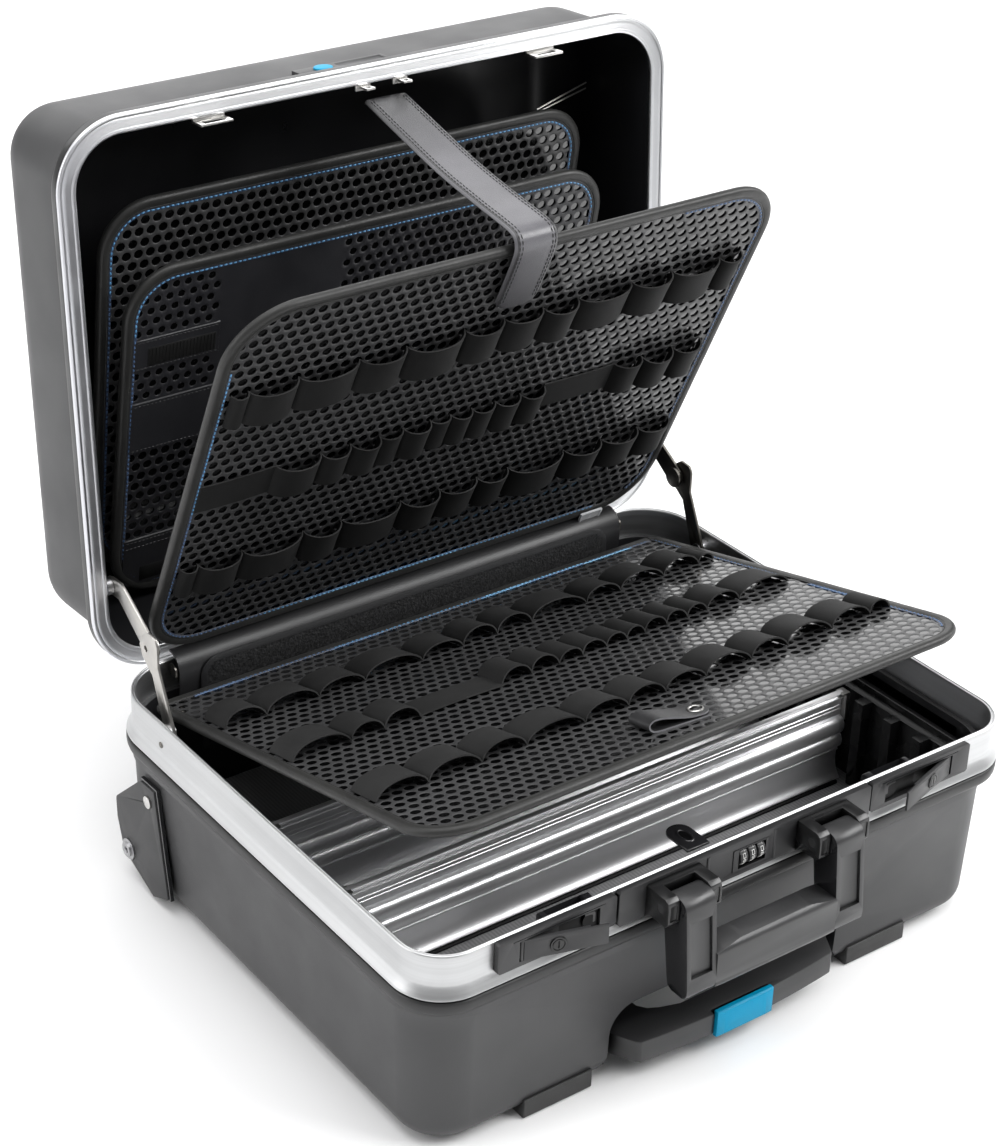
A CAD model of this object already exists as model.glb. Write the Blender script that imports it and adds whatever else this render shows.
import bpy, bmesh, math, random
import numpy as np
from mathutils import Vector, Matrix


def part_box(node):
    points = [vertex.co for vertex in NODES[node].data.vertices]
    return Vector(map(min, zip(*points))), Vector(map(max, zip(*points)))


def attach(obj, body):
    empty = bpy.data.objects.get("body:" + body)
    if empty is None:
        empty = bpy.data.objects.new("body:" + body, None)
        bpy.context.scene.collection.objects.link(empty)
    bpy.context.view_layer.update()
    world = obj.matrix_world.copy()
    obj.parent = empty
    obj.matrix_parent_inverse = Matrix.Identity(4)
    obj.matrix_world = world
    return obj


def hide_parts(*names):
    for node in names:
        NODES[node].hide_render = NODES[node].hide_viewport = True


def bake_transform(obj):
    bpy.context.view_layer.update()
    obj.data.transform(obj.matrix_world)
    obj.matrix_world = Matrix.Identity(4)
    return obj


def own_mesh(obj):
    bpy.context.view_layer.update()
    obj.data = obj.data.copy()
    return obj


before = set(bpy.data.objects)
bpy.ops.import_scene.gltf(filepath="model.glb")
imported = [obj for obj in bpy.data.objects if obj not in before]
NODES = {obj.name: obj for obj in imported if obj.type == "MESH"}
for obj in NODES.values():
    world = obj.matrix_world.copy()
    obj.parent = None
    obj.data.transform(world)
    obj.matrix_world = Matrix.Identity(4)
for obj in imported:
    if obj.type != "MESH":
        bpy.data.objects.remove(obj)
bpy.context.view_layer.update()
random.seed(7)
RNG = np.random.default_rng(11)
Y_MID, LIP = 50.4785, 156.0
YH, ZH, OPEN = 196.04, -2.14, math.radians(93.5)


# ------------------------------------------------------------------ frames
def row(p):
    """Case coordinates (mm, z = 0 at the base frame's lip) to row frame metres."""
    p = np.atleast_2d(np.asarray(p, float))
    return (p + np.array([0.0, -Y_MID, LIP])) / 1000.0


def lid(p):
    """Lid coordinates drawn shut to case coordinates with the lid open."""
    p = np.atleast_2d(np.asarray(p, float))
    c, s = math.cos(OPEN), math.sin(OPEN)
    y, z = p[:, 1] - YH, p[:, 2] - ZH
    return np.stack([p[:, 0], YH + c * y + s * z, ZH - s * y + c * z], 1)


class Plane:
    """x runs across, v up the panel, h out of its seen side."""

    def __init__(s, o, v, n):
        s.o, s.v, s.n = (np.array(a, float) for a in (o, v, n))

    def __call__(s, x, v, h):
        x, v, h = np.broadcast_arrays(*(np.asarray(a, float) for a in (x, v, h)))
        x, v, h = x.ravel(), v.ravel(), h.ravel()
        return s.o + np.outer(x, [1, 0, 0]) + np.outer(v, s.v) + np.outer(h, s.n)


def leaning(o, deg):
    t = math.radians(deg)
    return Plane(o, (0, -math.sin(t), math.cos(t)), (0, -math.cos(t), -math.sin(t)))


FRONT = leaning((0, 188.9, 9.9), 24)
MID = leaning((0, 271, 10), 10)
REAR = leaning((0, 296, 10), 7.8)
_t = math.radians(14.1)
TRAY = Plane((0, 168.3, -19), (0, -math.cos(_t), math.sin(_t)), (0, math.sin(_t), math.cos(_t)))


# ------------------------------------------------------------------ mesh helpers
def make(name, verts, faces, mats, body=None, smooth=True, sharp=35, mat_index=None, in_row=False):
    me = bpy.data.meshes.new(name)
    v = np.asarray(verts, float) if in_row else row(verts)
    me.from_pydata(v.tolist(), [], [tuple(int(i) for i in f) for f in faces])
    me.validate()
    mats = mats if isinstance(mats, (list, tuple)) else [mats]
    for m in mats:
        me.materials.append(m)
    if mat_index is not None:
        me.polygons.foreach_set("material_index", np.asarray(mat_index, dtype=np.int32)[: len(me.polygons)])
    o = bpy.data.objects.new(name, me)
    bpy.context.scene.collection.objects.link(o)
    bm = bmesh.new()
    bm.from_mesh(me)
    bmesh.ops.recalc_face_normals(bm, faces=bm.faces)
    bm.to_mesh(me)
    bm.free()
    if smooth:
        me.polygons.foreach_set("use_smooth", [True] * len(me.polygons))
        me.set_sharp_from_angle(angle=math.radians(sharp))
    if body:
        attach(o, body)
    return o


class Build:
    """Collects parts of one piece."""

    def __init__(s):
        s.v, s.f, s.m = [], [], []

    def add(s, verts, faces, m=0):
        k = sum(len(a) for a in s.v)
        s.v.append(np.asarray(verts, float).reshape(-1, 3))
        s.f += [tuple(i + k for i in f) for f in faces]
        s.m += [m] * len(faces)
        return s

    def out(s, name, mats, body=None, **kw):
        return make(name, np.concatenate(s.v), s.f, mats, body, mat_index=s.m, **kw)


def grid_faces(n, m, close_n=False, close_m=False, base=0):
    f = []
    for i in range(n if close_n else n - 1):
        for j in range(m if close_m else m - 1):
            a, b = i * m + j, i * m + (j + 1) % m
            c, d = ((i + 1) % n) * m + (j + 1) % m, ((i + 1) % n) * m + j
            f.append((base + a, base + b, base + c, base + d))
    return f


def tube(path, radius, sides=10, cap=True, up=(0, 0, 1)):
    """A round bar along a path in case coordinates."""
    p = np.asarray(path, float)
    n = len(p)
    r = np.broadcast_to(np.asarray(radius, float), (n,))
    t = np.gradient(p, axis=0)
    t /= np.linalg.norm(t, axis=1)[:, None]
    u = np.array(up, float)
    out = []
    for i in range(n):
        a = u - (u @ t[i]) * t[i]
        if np.linalg.norm(a) < 1e-6:
            a = np.array([1.0, 0, 0]) - t[i][0] * t[i]
        a /= np.linalg.norm(a)
        u = a
        b = np.cross(t[i], a)
        for k in range(sides):
            w = 2 * math.pi * k / sides
            out.append(p[i] + r[i] * (math.cos(w) * a + math.sin(w) * b))
    f = grid_faces(n, sides, close_m=True)
    if cap:
        f.append(tuple(range(sides)))
        f.append(tuple((n - 1) * sides + k for k in range(sides)))
    return np.array(out), f


def smooth_path(pts, n=8):
    """Catmull-Rom through the points."""
    p = np.asarray(pts, float)
    q = np.vstack([2 * p[0] - p[1], p, 2 * p[-1] - p[-2]])
    out = []
    for i in range(1, len(q) - 2):
        for k in range(n):
            t = k / n
            out.append(0.5 * ((2 * q[i]) + (-q[i - 1] + q[i + 1]) * t + (2 * q[i - 1] - 5 * q[i] + 4 * q[i + 1] - q[i + 2]) * t * t
                              + (-q[i - 1] + 3 * q[i] - 3 * q[i + 1] + q[i + 2]) * t ** 3))
    out.append(p[-1])
    return np.array(out)


def disc_stack(profile, sides=24):
    """Turned solid: profile of (radius, height) closed on the axis at both ends."""
    v, f = [], []
    for r, h in profile:
        for k in range(sides):
            w = 2 * math.pi * k / sides
            v.append((r * math.cos(w), r * math.sin(w), h))
    f = grid_faces(len(profile), sides, close_m=True)
    f.append(tuple(range(sides)))
    f.append(tuple((len(profile) - 1) * sides + k for k in range(sides)))
    return np.array(v), f


def place(v, origin, ax, ay, az):
    v = np.asarray(v, float)
    ax, ay, az = (np.array(a, float) / np.linalg.norm(a) for a in (ax, ay, az))
    return np.array(origin, float) + np.outer(v[:, 0], ax) + np.outer(v[:, 1], ay) + np.outer(v[:, 2], az)


def frame_of(n, hint=(0, 0, 1)):
    n = np.array(n, float) / np.linalg.norm(n)
    a = np.array(hint, float)
    if abs(a @ n) > 0.95:
        a = np.array([1.0, 0, 0])
    a = a - (a @ n) * n
    a /= np.linalg.norm(a)
    return a, np.cross(n, a), n


# ------------------------------------------------------------------ materials
class Mat:
    def __init__(s, name):
        s.m = bpy.data.materials.new(name)
        s.m.use_nodes = True
        s.nt = s.m.node_tree
        s.b = s.nt.nodes.get("Principled BSDF")
        s.tc = s.nt.nodes.new("ShaderNodeTexCoord")
        s.co = s.tc.outputs["Object"]

    def set(s, **kw):
        for k, v in kw.items():
            k = k.replace("_", " ")
            s.b.inputs[k].default_value = (*v, 1.0) if isinstance(v, tuple) and len(v) == 3 else v
        return s

    def n(s, kind, links=None, props=None, **vals):
        nd = s.nt.nodes.new(kind)
        for k, v in (props or {}).items():
            setattr(nd, k, v)
        for k, v in vals.items():
            nd.inputs[k.replace("_", " ")].default_value = v
        for k, v in (links or {}).items():
            s.nt.links.new(v, nd.inputs[k])
        return nd

    def link(s, out, key):
        s.nt.links.new(out, s.b.inputs[key])

    def mapped(s, scale=(1, 1, 1), rot=(0, 0, 0), loc=(0, 0, 0)):
        nd = s.nt.nodes.new("ShaderNodeMapping")
        nd.inputs["Scale"].default_value = scale
        nd.inputs["Rotation"].default_value = rot
        nd.inputs["Location"].default_value = loc
        s.nt.links.new(s.co, nd.inputs["Vector"])
        return nd.outputs["Vector"]

    def noise(s, scale, vec=None, detail=3.0, rough=0.5):
        nd = s.n("ShaderNodeTexNoise", Scale=scale, Detail=detail, Roughness=rough)
        s.nt.links.new(vec or s.co, nd.inputs["Vector"])
        return nd.outputs["Fac"]

    def voronoi(s, scale, vec=None, feature="F1", out="Distance", randomness=1.0):
        nd = s.n("ShaderNodeTexVoronoi", props={"feature": feature}, Scale=scale, Randomness=randomness)
        s.nt.links.new(vec or s.co, nd.inputs["Vector"])
        return nd.outputs[out]

    def ramp(s, fac, lo, hi, c0, c1):
        nd = s.nt.nodes.new("ShaderNodeValToRGB")
        nd.color_ramp.elements[0].position, nd.color_ramp.elements[1].position = lo, hi
        nd.color_ramp.elements[0].color = (*c0, 1) if isinstance(c0, tuple) else (c0, c0, c0, 1)
        nd.color_ramp.elements[1].color = (*c1, 1) if isinstance(c1, tuple) else (c1, c1, c1, 1)
        s.nt.links.new(fac, nd.inputs["Fac"])
        return nd.outputs["Color"]

    def span(s, fac, a, b, lo=0.0, hi=1.0):
        nd = s.n("ShaderNodeMapRange", **{"From_Min": lo, "From_Max": hi, "To_Min": a, "To_Max": b})
        s.nt.links.new(fac, nd.inputs["Value"])
        return nd.outputs["Result"]

    def math(s, op, a, b):
        nd = s.nt.nodes.new("ShaderNodeMath")
        nd.operation = op
        for i, q in enumerate((a, b)):
            if isinstance(q, (int, float)):
                nd.inputs[i].default_value = q
            else:
                s.nt.links.new(q, nd.inputs[i])
        return nd.outputs[0]

    def mix(s, fac, a, b, mode="MIX"):
        nd = s.nt.nodes.new("ShaderNodeMix")
        nd.data_type, nd.blend_type = "RGBA", mode
        if isinstance(fac, (int, float)):
            nd.inputs[0].default_value = fac
        else:
            s.nt.links.new(fac, nd.inputs[0])
        for i, q in ((6, a), (7, b)):
            if isinstance(q, tuple):
                nd.inputs[i].default_value = (*q, 1)
            else:
                s.nt.links.new(q, nd.inputs[i])
        return nd.outputs[2]

    def bump(s, height, strength, distance, under=None):
        nd = s.n("ShaderNodeBump", Strength=strength, Distance=distance)
        s.nt.links.new(height, nd.inputs["Height"])
        if under is not None:
            s.nt.links.new(under, nd.inputs["Normal"])
        return nd.outputs["Normal"]


def tint(c, k):
    return tuple(min(1.0, max(0.0, x * k)) for x in c)


def plastic(name, color, rough, grain=1500, depth=0.00006, strength=0.35, var=0.12, mottle=14, rvar=0.07, spec=0.5, coat=0.0, coat_rough=0.2, ao=0.0):
    """Moulded plastic: a fine spark-eroded grain over a slow mottle; recesses hold dust-dark tone when ao is given."""
    k = Mat(name)
    k.set(Metallic=0.0, Specular_IOR_Level=spec, Coat_Weight=coat, Coat_Roughness=coat_rough)
    slow = k.noise(mottle, detail=4.0)
    fine = k.noise(grain, detail=2.0)
    cells = k.voronoi(grain * 0.7)
    base = k.mix(k.span(fine, 0.0, 1.0, 0.3, 0.7), k.ramp(slow, 0.3, 0.7, tint(color, 1 - var), tint(color, 1 + var)), k.ramp(slow, 0.3, 0.7, tint(color, 1 - var * 0.2), tint(color, 1 + var * 2.2)))
    if ao:
        occ = k.n("ShaderNodeAmbientOcclusion", props={"samples": 6, "only_local": False}, Distance=ao)
        open_ = k.span(occ.outputs["AO"], 0.0, 1.0, 0.25, 0.8)
        base = k.mix(open_, (0.0006, 0.0006, 0.0006), base)
        k.link(k.span(occ.outputs["AO"], 0.05, spec, 0.25, 0.75), "Specular IOR Level")
    k.link(base, "Base Color")
    k.link(k.span(k.noise(mottle * 2.3, detail=3.0), rough - rvar, rough + rvar, 0.25, 0.75), "Roughness")
    h = k.math("ADD", k.math("MULTIPLY", fine, 0.6), k.math("MULTIPLY", cells, 0.6))
    k.link(k.bump(h, strength, depth), "Normal")
    return k.m


def metal(name, color, rough, stretch=(2, 2, 700), lines=1.0, var=0.08, rvar=0.06, depth=0.00002, strength=0.3, dents=0.0, aniso=0.0, across=None, metallic=1.0, sides=None):
    """Extruded or plated metal with drawn lines. across is the direction square to the drawing."""
    k = Mat(name)
    k.set(Metallic=metallic, Anisotropic=aniso)
    if across is not None:
        cb = k.nt.nodes.new("ShaderNodeCombineXYZ")
        for i, q in enumerate(across):
            cb.inputs[i].default_value = q
        k.link(cb.outputs[0], "Tangent")
    drawn = k.noise(lines, k.mapped(stretch), detail=5.0, rough=0.65)
    slow = k.noise(9, detail=3.0)
    base = k.mix(k.span(slow, 0.0, 1.0, 0.3, 0.7), k.ramp(drawn, 0.3, 0.7, tint(color, 1 - var), tint(color, 1 + var * 0.6)), k.ramp(drawn, 0.3, 0.7, tint(color, 1 - var * 1.6), tint(color, 1.0)))
    if sides:
        sx = k.n("ShaderNodeSeparateXYZ")
        k.nt.links.new(k.co, sx.inputs[0])
        left, right = k.span(sx.outputs["X"], 1.0, 0.0, -0.243, -0.19), k.span(sx.outputs["X"], 0.0, 1.0, 0.19, 0.243)
        base = k.mix(left, k.mix(right, base, sides[1]), sides[0])
    k.link(base, "Base Color")
    k.link(k.span(k.math("ADD", k.math("MULTIPLY", drawn, 0.7), k.math("MULTIPLY", slow, 0.3)), rough - rvar, rough + rvar, 0.3, 0.7), "Roughness")
    nrm = k.bump(drawn, strength, depth)
    if dents:
        nrm = k.bump(k.noise(26, detail=1.5), dents, 0.0015, under=nrm)
    k.link(nrm, "Normal")
    return k.m


M = {}
M["case"] = plastic("case_plastic", (0.0375, 0.0375, 0.039), 0.46, grain=1700, depth=0.00009, strength=0.42, var=0.07, mottle=9)
M["cover"] = plastic("cover_plastic", (0.028, 0.028, 0.0292), 0.5, grain=1900, depth=0.00007, strength=0.35, var=0.08)
M["black"] = plastic("black_plastic", (0.017, 0.017, 0.018), 0.42, grain=2300, depth=0.00005, strength=0.3, var=0.15, ao=0.012)
M["satin"] = plastic("satin_black_plastic", (0.021, 0.021, 0.022), 0.36, grain=2600, depth=0.00004, strength=0.25, var=0.12)
M["rolled"] = plastic("rolled_collar_plastic", (0.021, 0.021, 0.0215), 0.42, grain=1500, depth=0.00005, strength=0.3, var=0.12, spec=0.35, ao=0.006)
M["recess"] = plastic("lock_recess_plastic", (0.0022, 0.0022, 0.0024), 0.42, grain=1100, depth=0.00003, strength=0.2, var=0.15, spec=0.12)
M["handle"] = plastic("handle_plastic", (0.027, 0.027, 0.028), 0.36, grain=2000, depth=0.00006, strength=0.35, var=0.1, ao=0.016)
M["gloss"] = plastic("gloss_black", (0.010, 0.010, 0.011), 0.22, grain=900, depth=0.00003, strength=0.15, var=0.2, rvar=0.04, coat=0.3, coat_rough=0.12)
M["blue"] = plastic("blue_plastic", (0.0, 0.27, 0.47), 0.42, grain=1800, depth=0.00003, strength=0.15, var=0.05, spec=0.2)
M["alu_z"] = metal("frame_aluminium", (0.55, 0.555, 0.56), 0.40, stretch=(1.2, 1.2, 380), var=0.10, depth=0.000002, strength=0.03)
M["alu_y"] = metal("lid_frame_aluminium", (0.93, 0.935, 0.945), 0.36, stretch=(1.2, 420, 1.2), var=0.03, depth=0.000002, strength=0.03, sides=((0.64, 0.645, 0.675), (0.35, 0.355, 0.365)))
M["alu_x"] = metal("divider_aluminium", (0.95, 0.95, 0.965), 0.37, stretch=(0.6, 260, 260), var=0.01, rvar=0.012, depth=0.000001, strength=0.01, metallic=0.85)
M["tube"] = metal("tube_aluminium", (0.70, 0.71, 0.72), 0.3, stretch=(700, 1.5, 700))
M["steel"] = metal("bright_steel", (0.62, 0.61, 0.59), 0.3, stretch=(160, 160, 160), depth=0.000004, strength=0.15)
M["stay"] = metal("stay_nickel", (0.50, 0.485, 0.46), 0.36, stretch=(160, 40, 160), var=0.07, depth=0.000004, strength=0.15)
M["stay_dark"] = metal("stay_nickel_shaded", (0.16, 0.152, 0.138), 0.34, stretch=(160, 40, 160), var=0.07, depth=0.000004, strength=0.15)
M["rail"] = plastic("divider_rail_plastic", (0.008, 0.008, 0.0085), 0.26, grain=900, depth=0.00003, strength=0.15, var=0.15, spec=0.45)
M["bracket"] = plastic("bracket_plastic", (0.010, 0.010, 0.0104), 0.3, grain=1100, depth=0.00003, strength=0.2, var=0.12, spec=0.5, ao=0.014)
M["gunmetal"] = metal("key_cylinder_dark", (0.055, 0.055, 0.055), 0.36, stretch=(240, 240, 240), depth=0.000006)
M["liner"] = plastic("inner_black_plastic", (0.010, 0.010, 0.0112), 0.33, grain=700, depth=0.00004, strength=0.12, var=0.15, spec=0.4)
M["collar"] = plastic("edge_collar_plastic", (0.012, 0.012, 0.0125), 0.36, grain=1400, depth=0.00003, strength=0.15, var=0.1)
M["chrome"] = metal("snap_chrome", (0.85, 0.85, 0.86), 0.12, stretch=(200, 200, 200), depth=0.000006, rvar=0.03)
M["zinc"] = metal("dark_zinc_steel", (0.42, 0.42, 0.43), 0.34, stretch=(400, 400, 400))
M["rubber"] = plastic("foot_rubber", (0.027, 0.027, 0.027), 0.56, grain=1400, depth=0.00008, strength=0.4, var=0.15)
M["tyre"] = plastic("tyre_rubber", (0.018, 0.018, 0.018), 0.7, grain=1100, depth=0.0001, strength=0.5, var=0.2)


def mat_floor_mat():
    k = Mat("floor_mat_ribbed")
    k.set(Metallic=0.0, Specular_IOR_Level=0.45)
    w = k.n("ShaderNodeTexWave", props={"wave_type": "BANDS", "bands_direction": "X"}, Scale=115.0, Distortion=0.6, Detail=1.0)
    k.nt.links.new(k.co, w.inputs["Vector"])
    fine = k.noise(700, detail=2.0)
    k.link(k.ramp(w.outputs["Fac"], 0.1, 0.9, (0.22, 0.22, 0.224), (0.30, 0.30, 0.304)), "Base Color")
    k.link(k.span(fine, 0.42, 0.6), "Roughness")
    k.link(k.bump(w.outputs["Fac"], 0.25, 0.00018, under=k.bump(fine, 0.3, 0.0001)), "Normal")
    return k.m


def mat_elastic(name, base=0.0058, edge=False):
    k = Mat(name)
    k.set(Metallic=0.0, Specular_IOR_Level=0.16, Sheen_Weight=0.02, Sheen_Roughness=0.5)
    a = k.noise(1600, detail=2.0)
    slow = k.noise(30, detail=3.0)
    rib = k.noise(1.0, k.mapped((2600, 420, 420)), detail=2.0)
    lo = base * (3.0 if edge else 0.85)
    hi = base * (6.0 if edge else 1.3)
    k.link(k.mix(k.span(a, 0.0, 1.0, 0.3, 0.7), k.ramp(slow, 0.3, 0.7, lo, hi), k.ramp(slow, 0.3, 0.7, lo * 1.25, hi * 1.35)), "Base Color")
    k.link(k.span(a, 0.62, 0.78), "Roughness")
    k.link(k.bump(k.math("ADD", rib, k.math("MULTIPLY", a, 0.5)), 0.45, 0.0001), "Normal")
    return k.m


def mat_sheet(name, color=(0.03, 0.03, 0.031), rough=0.42, spec=0.5):
    k = Mat(name)
    k.set(Metallic=0.0, Specular_IOR_Level=spec)
    fine = k.noise(1300, detail=3.0)
    slow = k.noise(18, detail=3.0)
    k.link(k.mix(k.span(fine, 0.0, 1.0, 0.35, 0.65), k.ramp(slow, 0.3, 0.7, tint(color, 0.85), tint(color, 1.1)), k.ramp(slow, 0.3, 0.7, tint(color, 1.1), tint(color, 1.4))), "Base Color")
    k.link(k.span(k.noise(60, detail=2.0), rough - 0.06, rough + 0.08, 0.3, 0.7), "Roughness")
    k.link(k.bump(fine, 0.35, 0.00008), "Normal")
    return k.m


def mat_back():
    k = Mat("board_backing_gloss")
    k.set(Metallic=0.0, IOR=1.85, Specular_IOR_Level=0.5)
    fine = k.noise(420, detail=3.0)
    k.link(k.ramp(k.noise(40, detail=3.0), 0.3, 0.7, (0.0008, 0.0008, 0.0009), (0.002, 0.002, 0.0022)), "Base Color")
    k.link(k.span(fine, 0.09, 0.14), "Roughness")
    k.link(k.bump(fine, 0.08, 0.00004), "Normal")
    return k.m


def mat_binding():
    k = Mat("board_binding_vinyl")
    k.set(Metallic=0.0, Specular_IOR_Level=0.35, Sheen_Weight=0.02)
    fine = k.voronoi(1500)
    slow = k.noise(25, detail=3.0)
    k.link(k.ramp(slow, 0.3, 0.7, (0.016, 0.016, 0.0157), (0.025, 0.025, 0.0238)), "Base Color")
    k.link(k.span(k.noise(90, detail=3.0), 0.38, 0.52, 0.3, 0.7), "Roughness")
    k.link(k.bump(fine, 0.35, 0.00009, under=k.bump(k.noise(110, detail=2.0), 0.25, 0.0006)), "Normal")
    return k.m


def mat_thread(name, lo, hi):
    k = Mat(name)
    k.set(Metallic=0.0, Specular_IOR_Level=0.6, Sheen_Weight=0.2)
    tw = k.noise(1.0, k.mapped((1700, 1700, 1700)), detail=1.0)
    k.link(k.ramp(tw, 0.35, 0.65, lo, hi), "Base Color")
    k.link(k.span(tw, 0.35, 0.55), "Roughness")
    k.link(k.bump(tw, 0.5, 0.00012), "Normal")
    return k.m


def mat_leather(name, color, rough, scale=900, fade=False):
    k = Mat(name)
    k.set(Metallic=0.0, Specular_IOR_Level=0.55, Coat_Weight=0.18, Coat_Roughness=0.32)
    v = k.voronoi(scale, feature="DISTANCE_TO_EDGE")
    fine = k.noise(scale * 2, detail=2.0)
    slow = k.noise(22, detail=4.0)
    base = k.mix(k.span(fine, 0.0, 1.0, 0.3, 0.7), k.ramp(slow, 0.3, 0.7, tint(color, 0.82), tint(color, 1.12)), k.ramp(slow, 0.3, 0.7, tint(color, 1.0), tint(color, 1.35)))
    if fade:
        sx = k.n("ShaderNodeSeparateXYZ")
        k.nt.links.new(k.co, sx.inputs[0])
        base = k.mix(k.span(sx.outputs["Y"], 0.0, 1.0, 0.085, 0.172), base, tint(color, 0.10))
        base = k.mix(k.span(sx.outputs["Z"], 1.0, 0.0, 0.425, 0.478), base, tint(color, 0.45))
    k.link(base, "Base Color")
    k.link(k.span(k.noise(45, detail=3.0), rough - 0.06, rough + 0.07, 0.3, 0.7), "Roughness")
    k.link(k.bump(k.span(v, 0.0, 1.0, 0.0, 0.2), 0.35, 0.0001, under=k.bump(fine, 0.2, 0.00005)), "Normal")
    return k.m


M["floor_mat"] = mat_floor_mat()
M["elastic"] = mat_elastic("elastic_webbing")
M["elastic_edge"] = mat_elastic("elastic_cut_edge", edge=True)
M["elastic_tray"] = mat_elastic("elastic_webbing_tray", base=0.0125)
M["sheet"] = mat_sheet("honeycomb_sheet", (0.037, 0.037, 0.038), 0.4)
M["wall"] = mat_sheet("honeycomb_hole_wall", (0.0016, 0.0016, 0.0018), 0.6, spec=0.05)
M["panel"] = mat_sheet("sewn_panel", (0.015, 0.015, 0.0175), 0.44)
M["knit"] = mat_elastic("knitted_strip", 0.006)
M["back"] = mat_back()
M["binding"] = mat_binding()
M["thread_blue"] = mat_thread("thread_dim_blue", (0.022, 0.062, 0.15), (0.06, 0.14, 0.29))
M["thread_base"] = mat_thread("tape_navy", (0.009, 0.015, 0.036), (0.017, 0.030, 0.066))
M["thread_mid"] = mat_thread("thread_mid_blue", (0.035, 0.17, 0.36), (0.10, 0.32, 0.56))
M["base_mid"] = mat_thread("tape_blue_dark", (0.010, 0.024, 0.055), (0.020, 0.045, 0.10))
M["thread_bright"] = mat_thread("thread_bright_blue", (0.09, 0.36, 0.62), (0.26, 0.58, 0.84))
M["base_bright"] = mat_thread("tape_blue", (0.008, 0.075, 0.20), (0.015, 0.12, 0.30))
M["thread_dark"] = mat_thread("thread_dark", (0.006, 0.006, 0.007), (0.02, 0.02, 0.022))
M["leather"] = mat_leather("strap_leather", (0.088, 0.0865, 0.095), 0.35, fade=True)
M["leather_edge"] = mat_leather("strap_edge", (0.15, 0.15, 0.16), 0.4)
M["leather_rim"] = mat_leather("strap_rim", (0.024, 0.0237, 0.026), 0.4)
M["leather_tab"] = mat_leather("tab_leather", (0.016, 0.016, 0.017), 0.42)
M["pocket"] = mat_sheet("pocket_fabric", (0.010, 0.010, 0.0105), 0.55)

ASSIGN = {
    "base_shell": "case", "lid_shell": "case", "base_frame": "alu_z", "lid_frame": "alu_y", "base_floor": "floor_mat",
    "divider_front": "alu_x", "divider_rear": "alu_x", "divider_rails": "rail", "divider_clips": "steel",
    "lock_plates": "black", "lock_plate_middle": "black", "lock_hooks": "recess", "combination_housing": "black",
    "lock_housings": "liner", "lock_tongue": "gloss", "handle_brackets": "bracket", "handle_pins": "handle",
    "feet_front": "rubber", "feet_rear": "rubber", "wheel_covers": "cover", "cover_gaskets": "gloss", "cover_fasteners": "steel",
    "wheel_axles": "zinc", "trolley_outer_tubes": "tube", "trolley_middle_tubes": "tube", "trolley_inner_tubes": "tube",
    "trolley_brackets": "black", "hinge_base_leaf": "tube", "hinge_lid_leaf": "tube", "hinge_pin": "steel",
    "hinge_cover_strip": "gloss", "document_pocket": "pocket", "stay_base_pins": "zinc", "stay_lid_pins": "zinc",
    "lock_lever_left": "black", "lock_lever_right": "black", "key_cylinder_left": "gunmetal", "key_cylinder_right": "gunmetal",
    "dial_1": "satin", "dial_2": "satin", "dial_3": "satin", "carry_handle": "handle", "wheel_left": "tyre", "wheel_right": "tyre",
    "trolley_grip": "handle", "trolley_button": "blue", "stay_lower_arms": "stay", "stay_upper_arms": "stay",
    "lid_strikes": "steel", "combination_strikes": "steel", "name_plate": "case", "name_plate_tab": "blue",
    "strap": "leather", "front_board": "sheet", "mid_board": "sheet", "rear_board": "sheet", "base_board": "sheet",
    "front_board_loops": "elastic", "base_board_loops": "elastic",
}
BEVEL = {
    "base_shell": 0.5, "lid_shell": 0.5, "divider_rails": 0.5, "lock_plates": 0.35, "lock_plate_middle": 0.35, "handle_brackets": 0.8,
    "carry_handle": 1.1, "trolley_grip": 1.4, "trolley_button": 0.5, "wheel_covers": 1.2, "feet_front": 0.8, "feet_rear": 0.8,
    "lock_lever_left": 0.4, "lock_lever_right": 0.4, "name_plate": 0.5, "name_plate_tab": 0.3, "lock_tongue": 0.3,
    "lock_housings": 0.5, "stay_lower_arms": 0.3, "stay_upper_arms": 0.3, "lid_strikes": 0.3, "combination_strikes": 0.3,
    "cover_fasteners": 0.4, "wheel_axles": 0.3, "key_cylinder_left": 0.15, "key_cylinder_right": 0.15, "dial_1": 0.2, "dial_2": 0.2, "dial_3": 0.2,
}
for name, o in NODES.items():
    me = o.data
    mat = M[ASSIGN.get(name, "black")]
    me.materials.clear()
    me.materials.append(mat)
    me.polygons.foreach_set("material_index", [0] * len(me.polygons))
    me.polygons.foreach_set("use_smooth", [True] * len(me.polygons))
    w = o.modifiers.new("weld", "WELD")
    w.merge_threshold = 1e-6
    if name in BEVEL:
        b = o.modifiers.new("edge", "BEVEL")
        b.width = BEVEL[name] / 1000
        b.segments = 2
        b.limit_method = "ANGLE"
        b.angle_limit = math.radians(32)
        b.use_clamp_overlap = True
        b.miter_outer = "MITER_ARC"
    e = o.modifiers.new("sharp", "EDGE_SPLIT")
    e.split_angle = math.radians(33)


def dark_inside(name, centre, mat):
    """The cavity's own faces carry the smooth black of the moulding's inside."""
    me = NODES[name].data
    me.materials.append(mat)
    k = len(me.materials) - 1
    c = Vector(centre)
    idx = []
    for p in me.polygons:
        d = c - p.center
        idx.append(k if p.normal.dot(d) > 0.02 * d.length else 0)
    me.polygons.foreach_set("material_index", idx)


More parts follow.
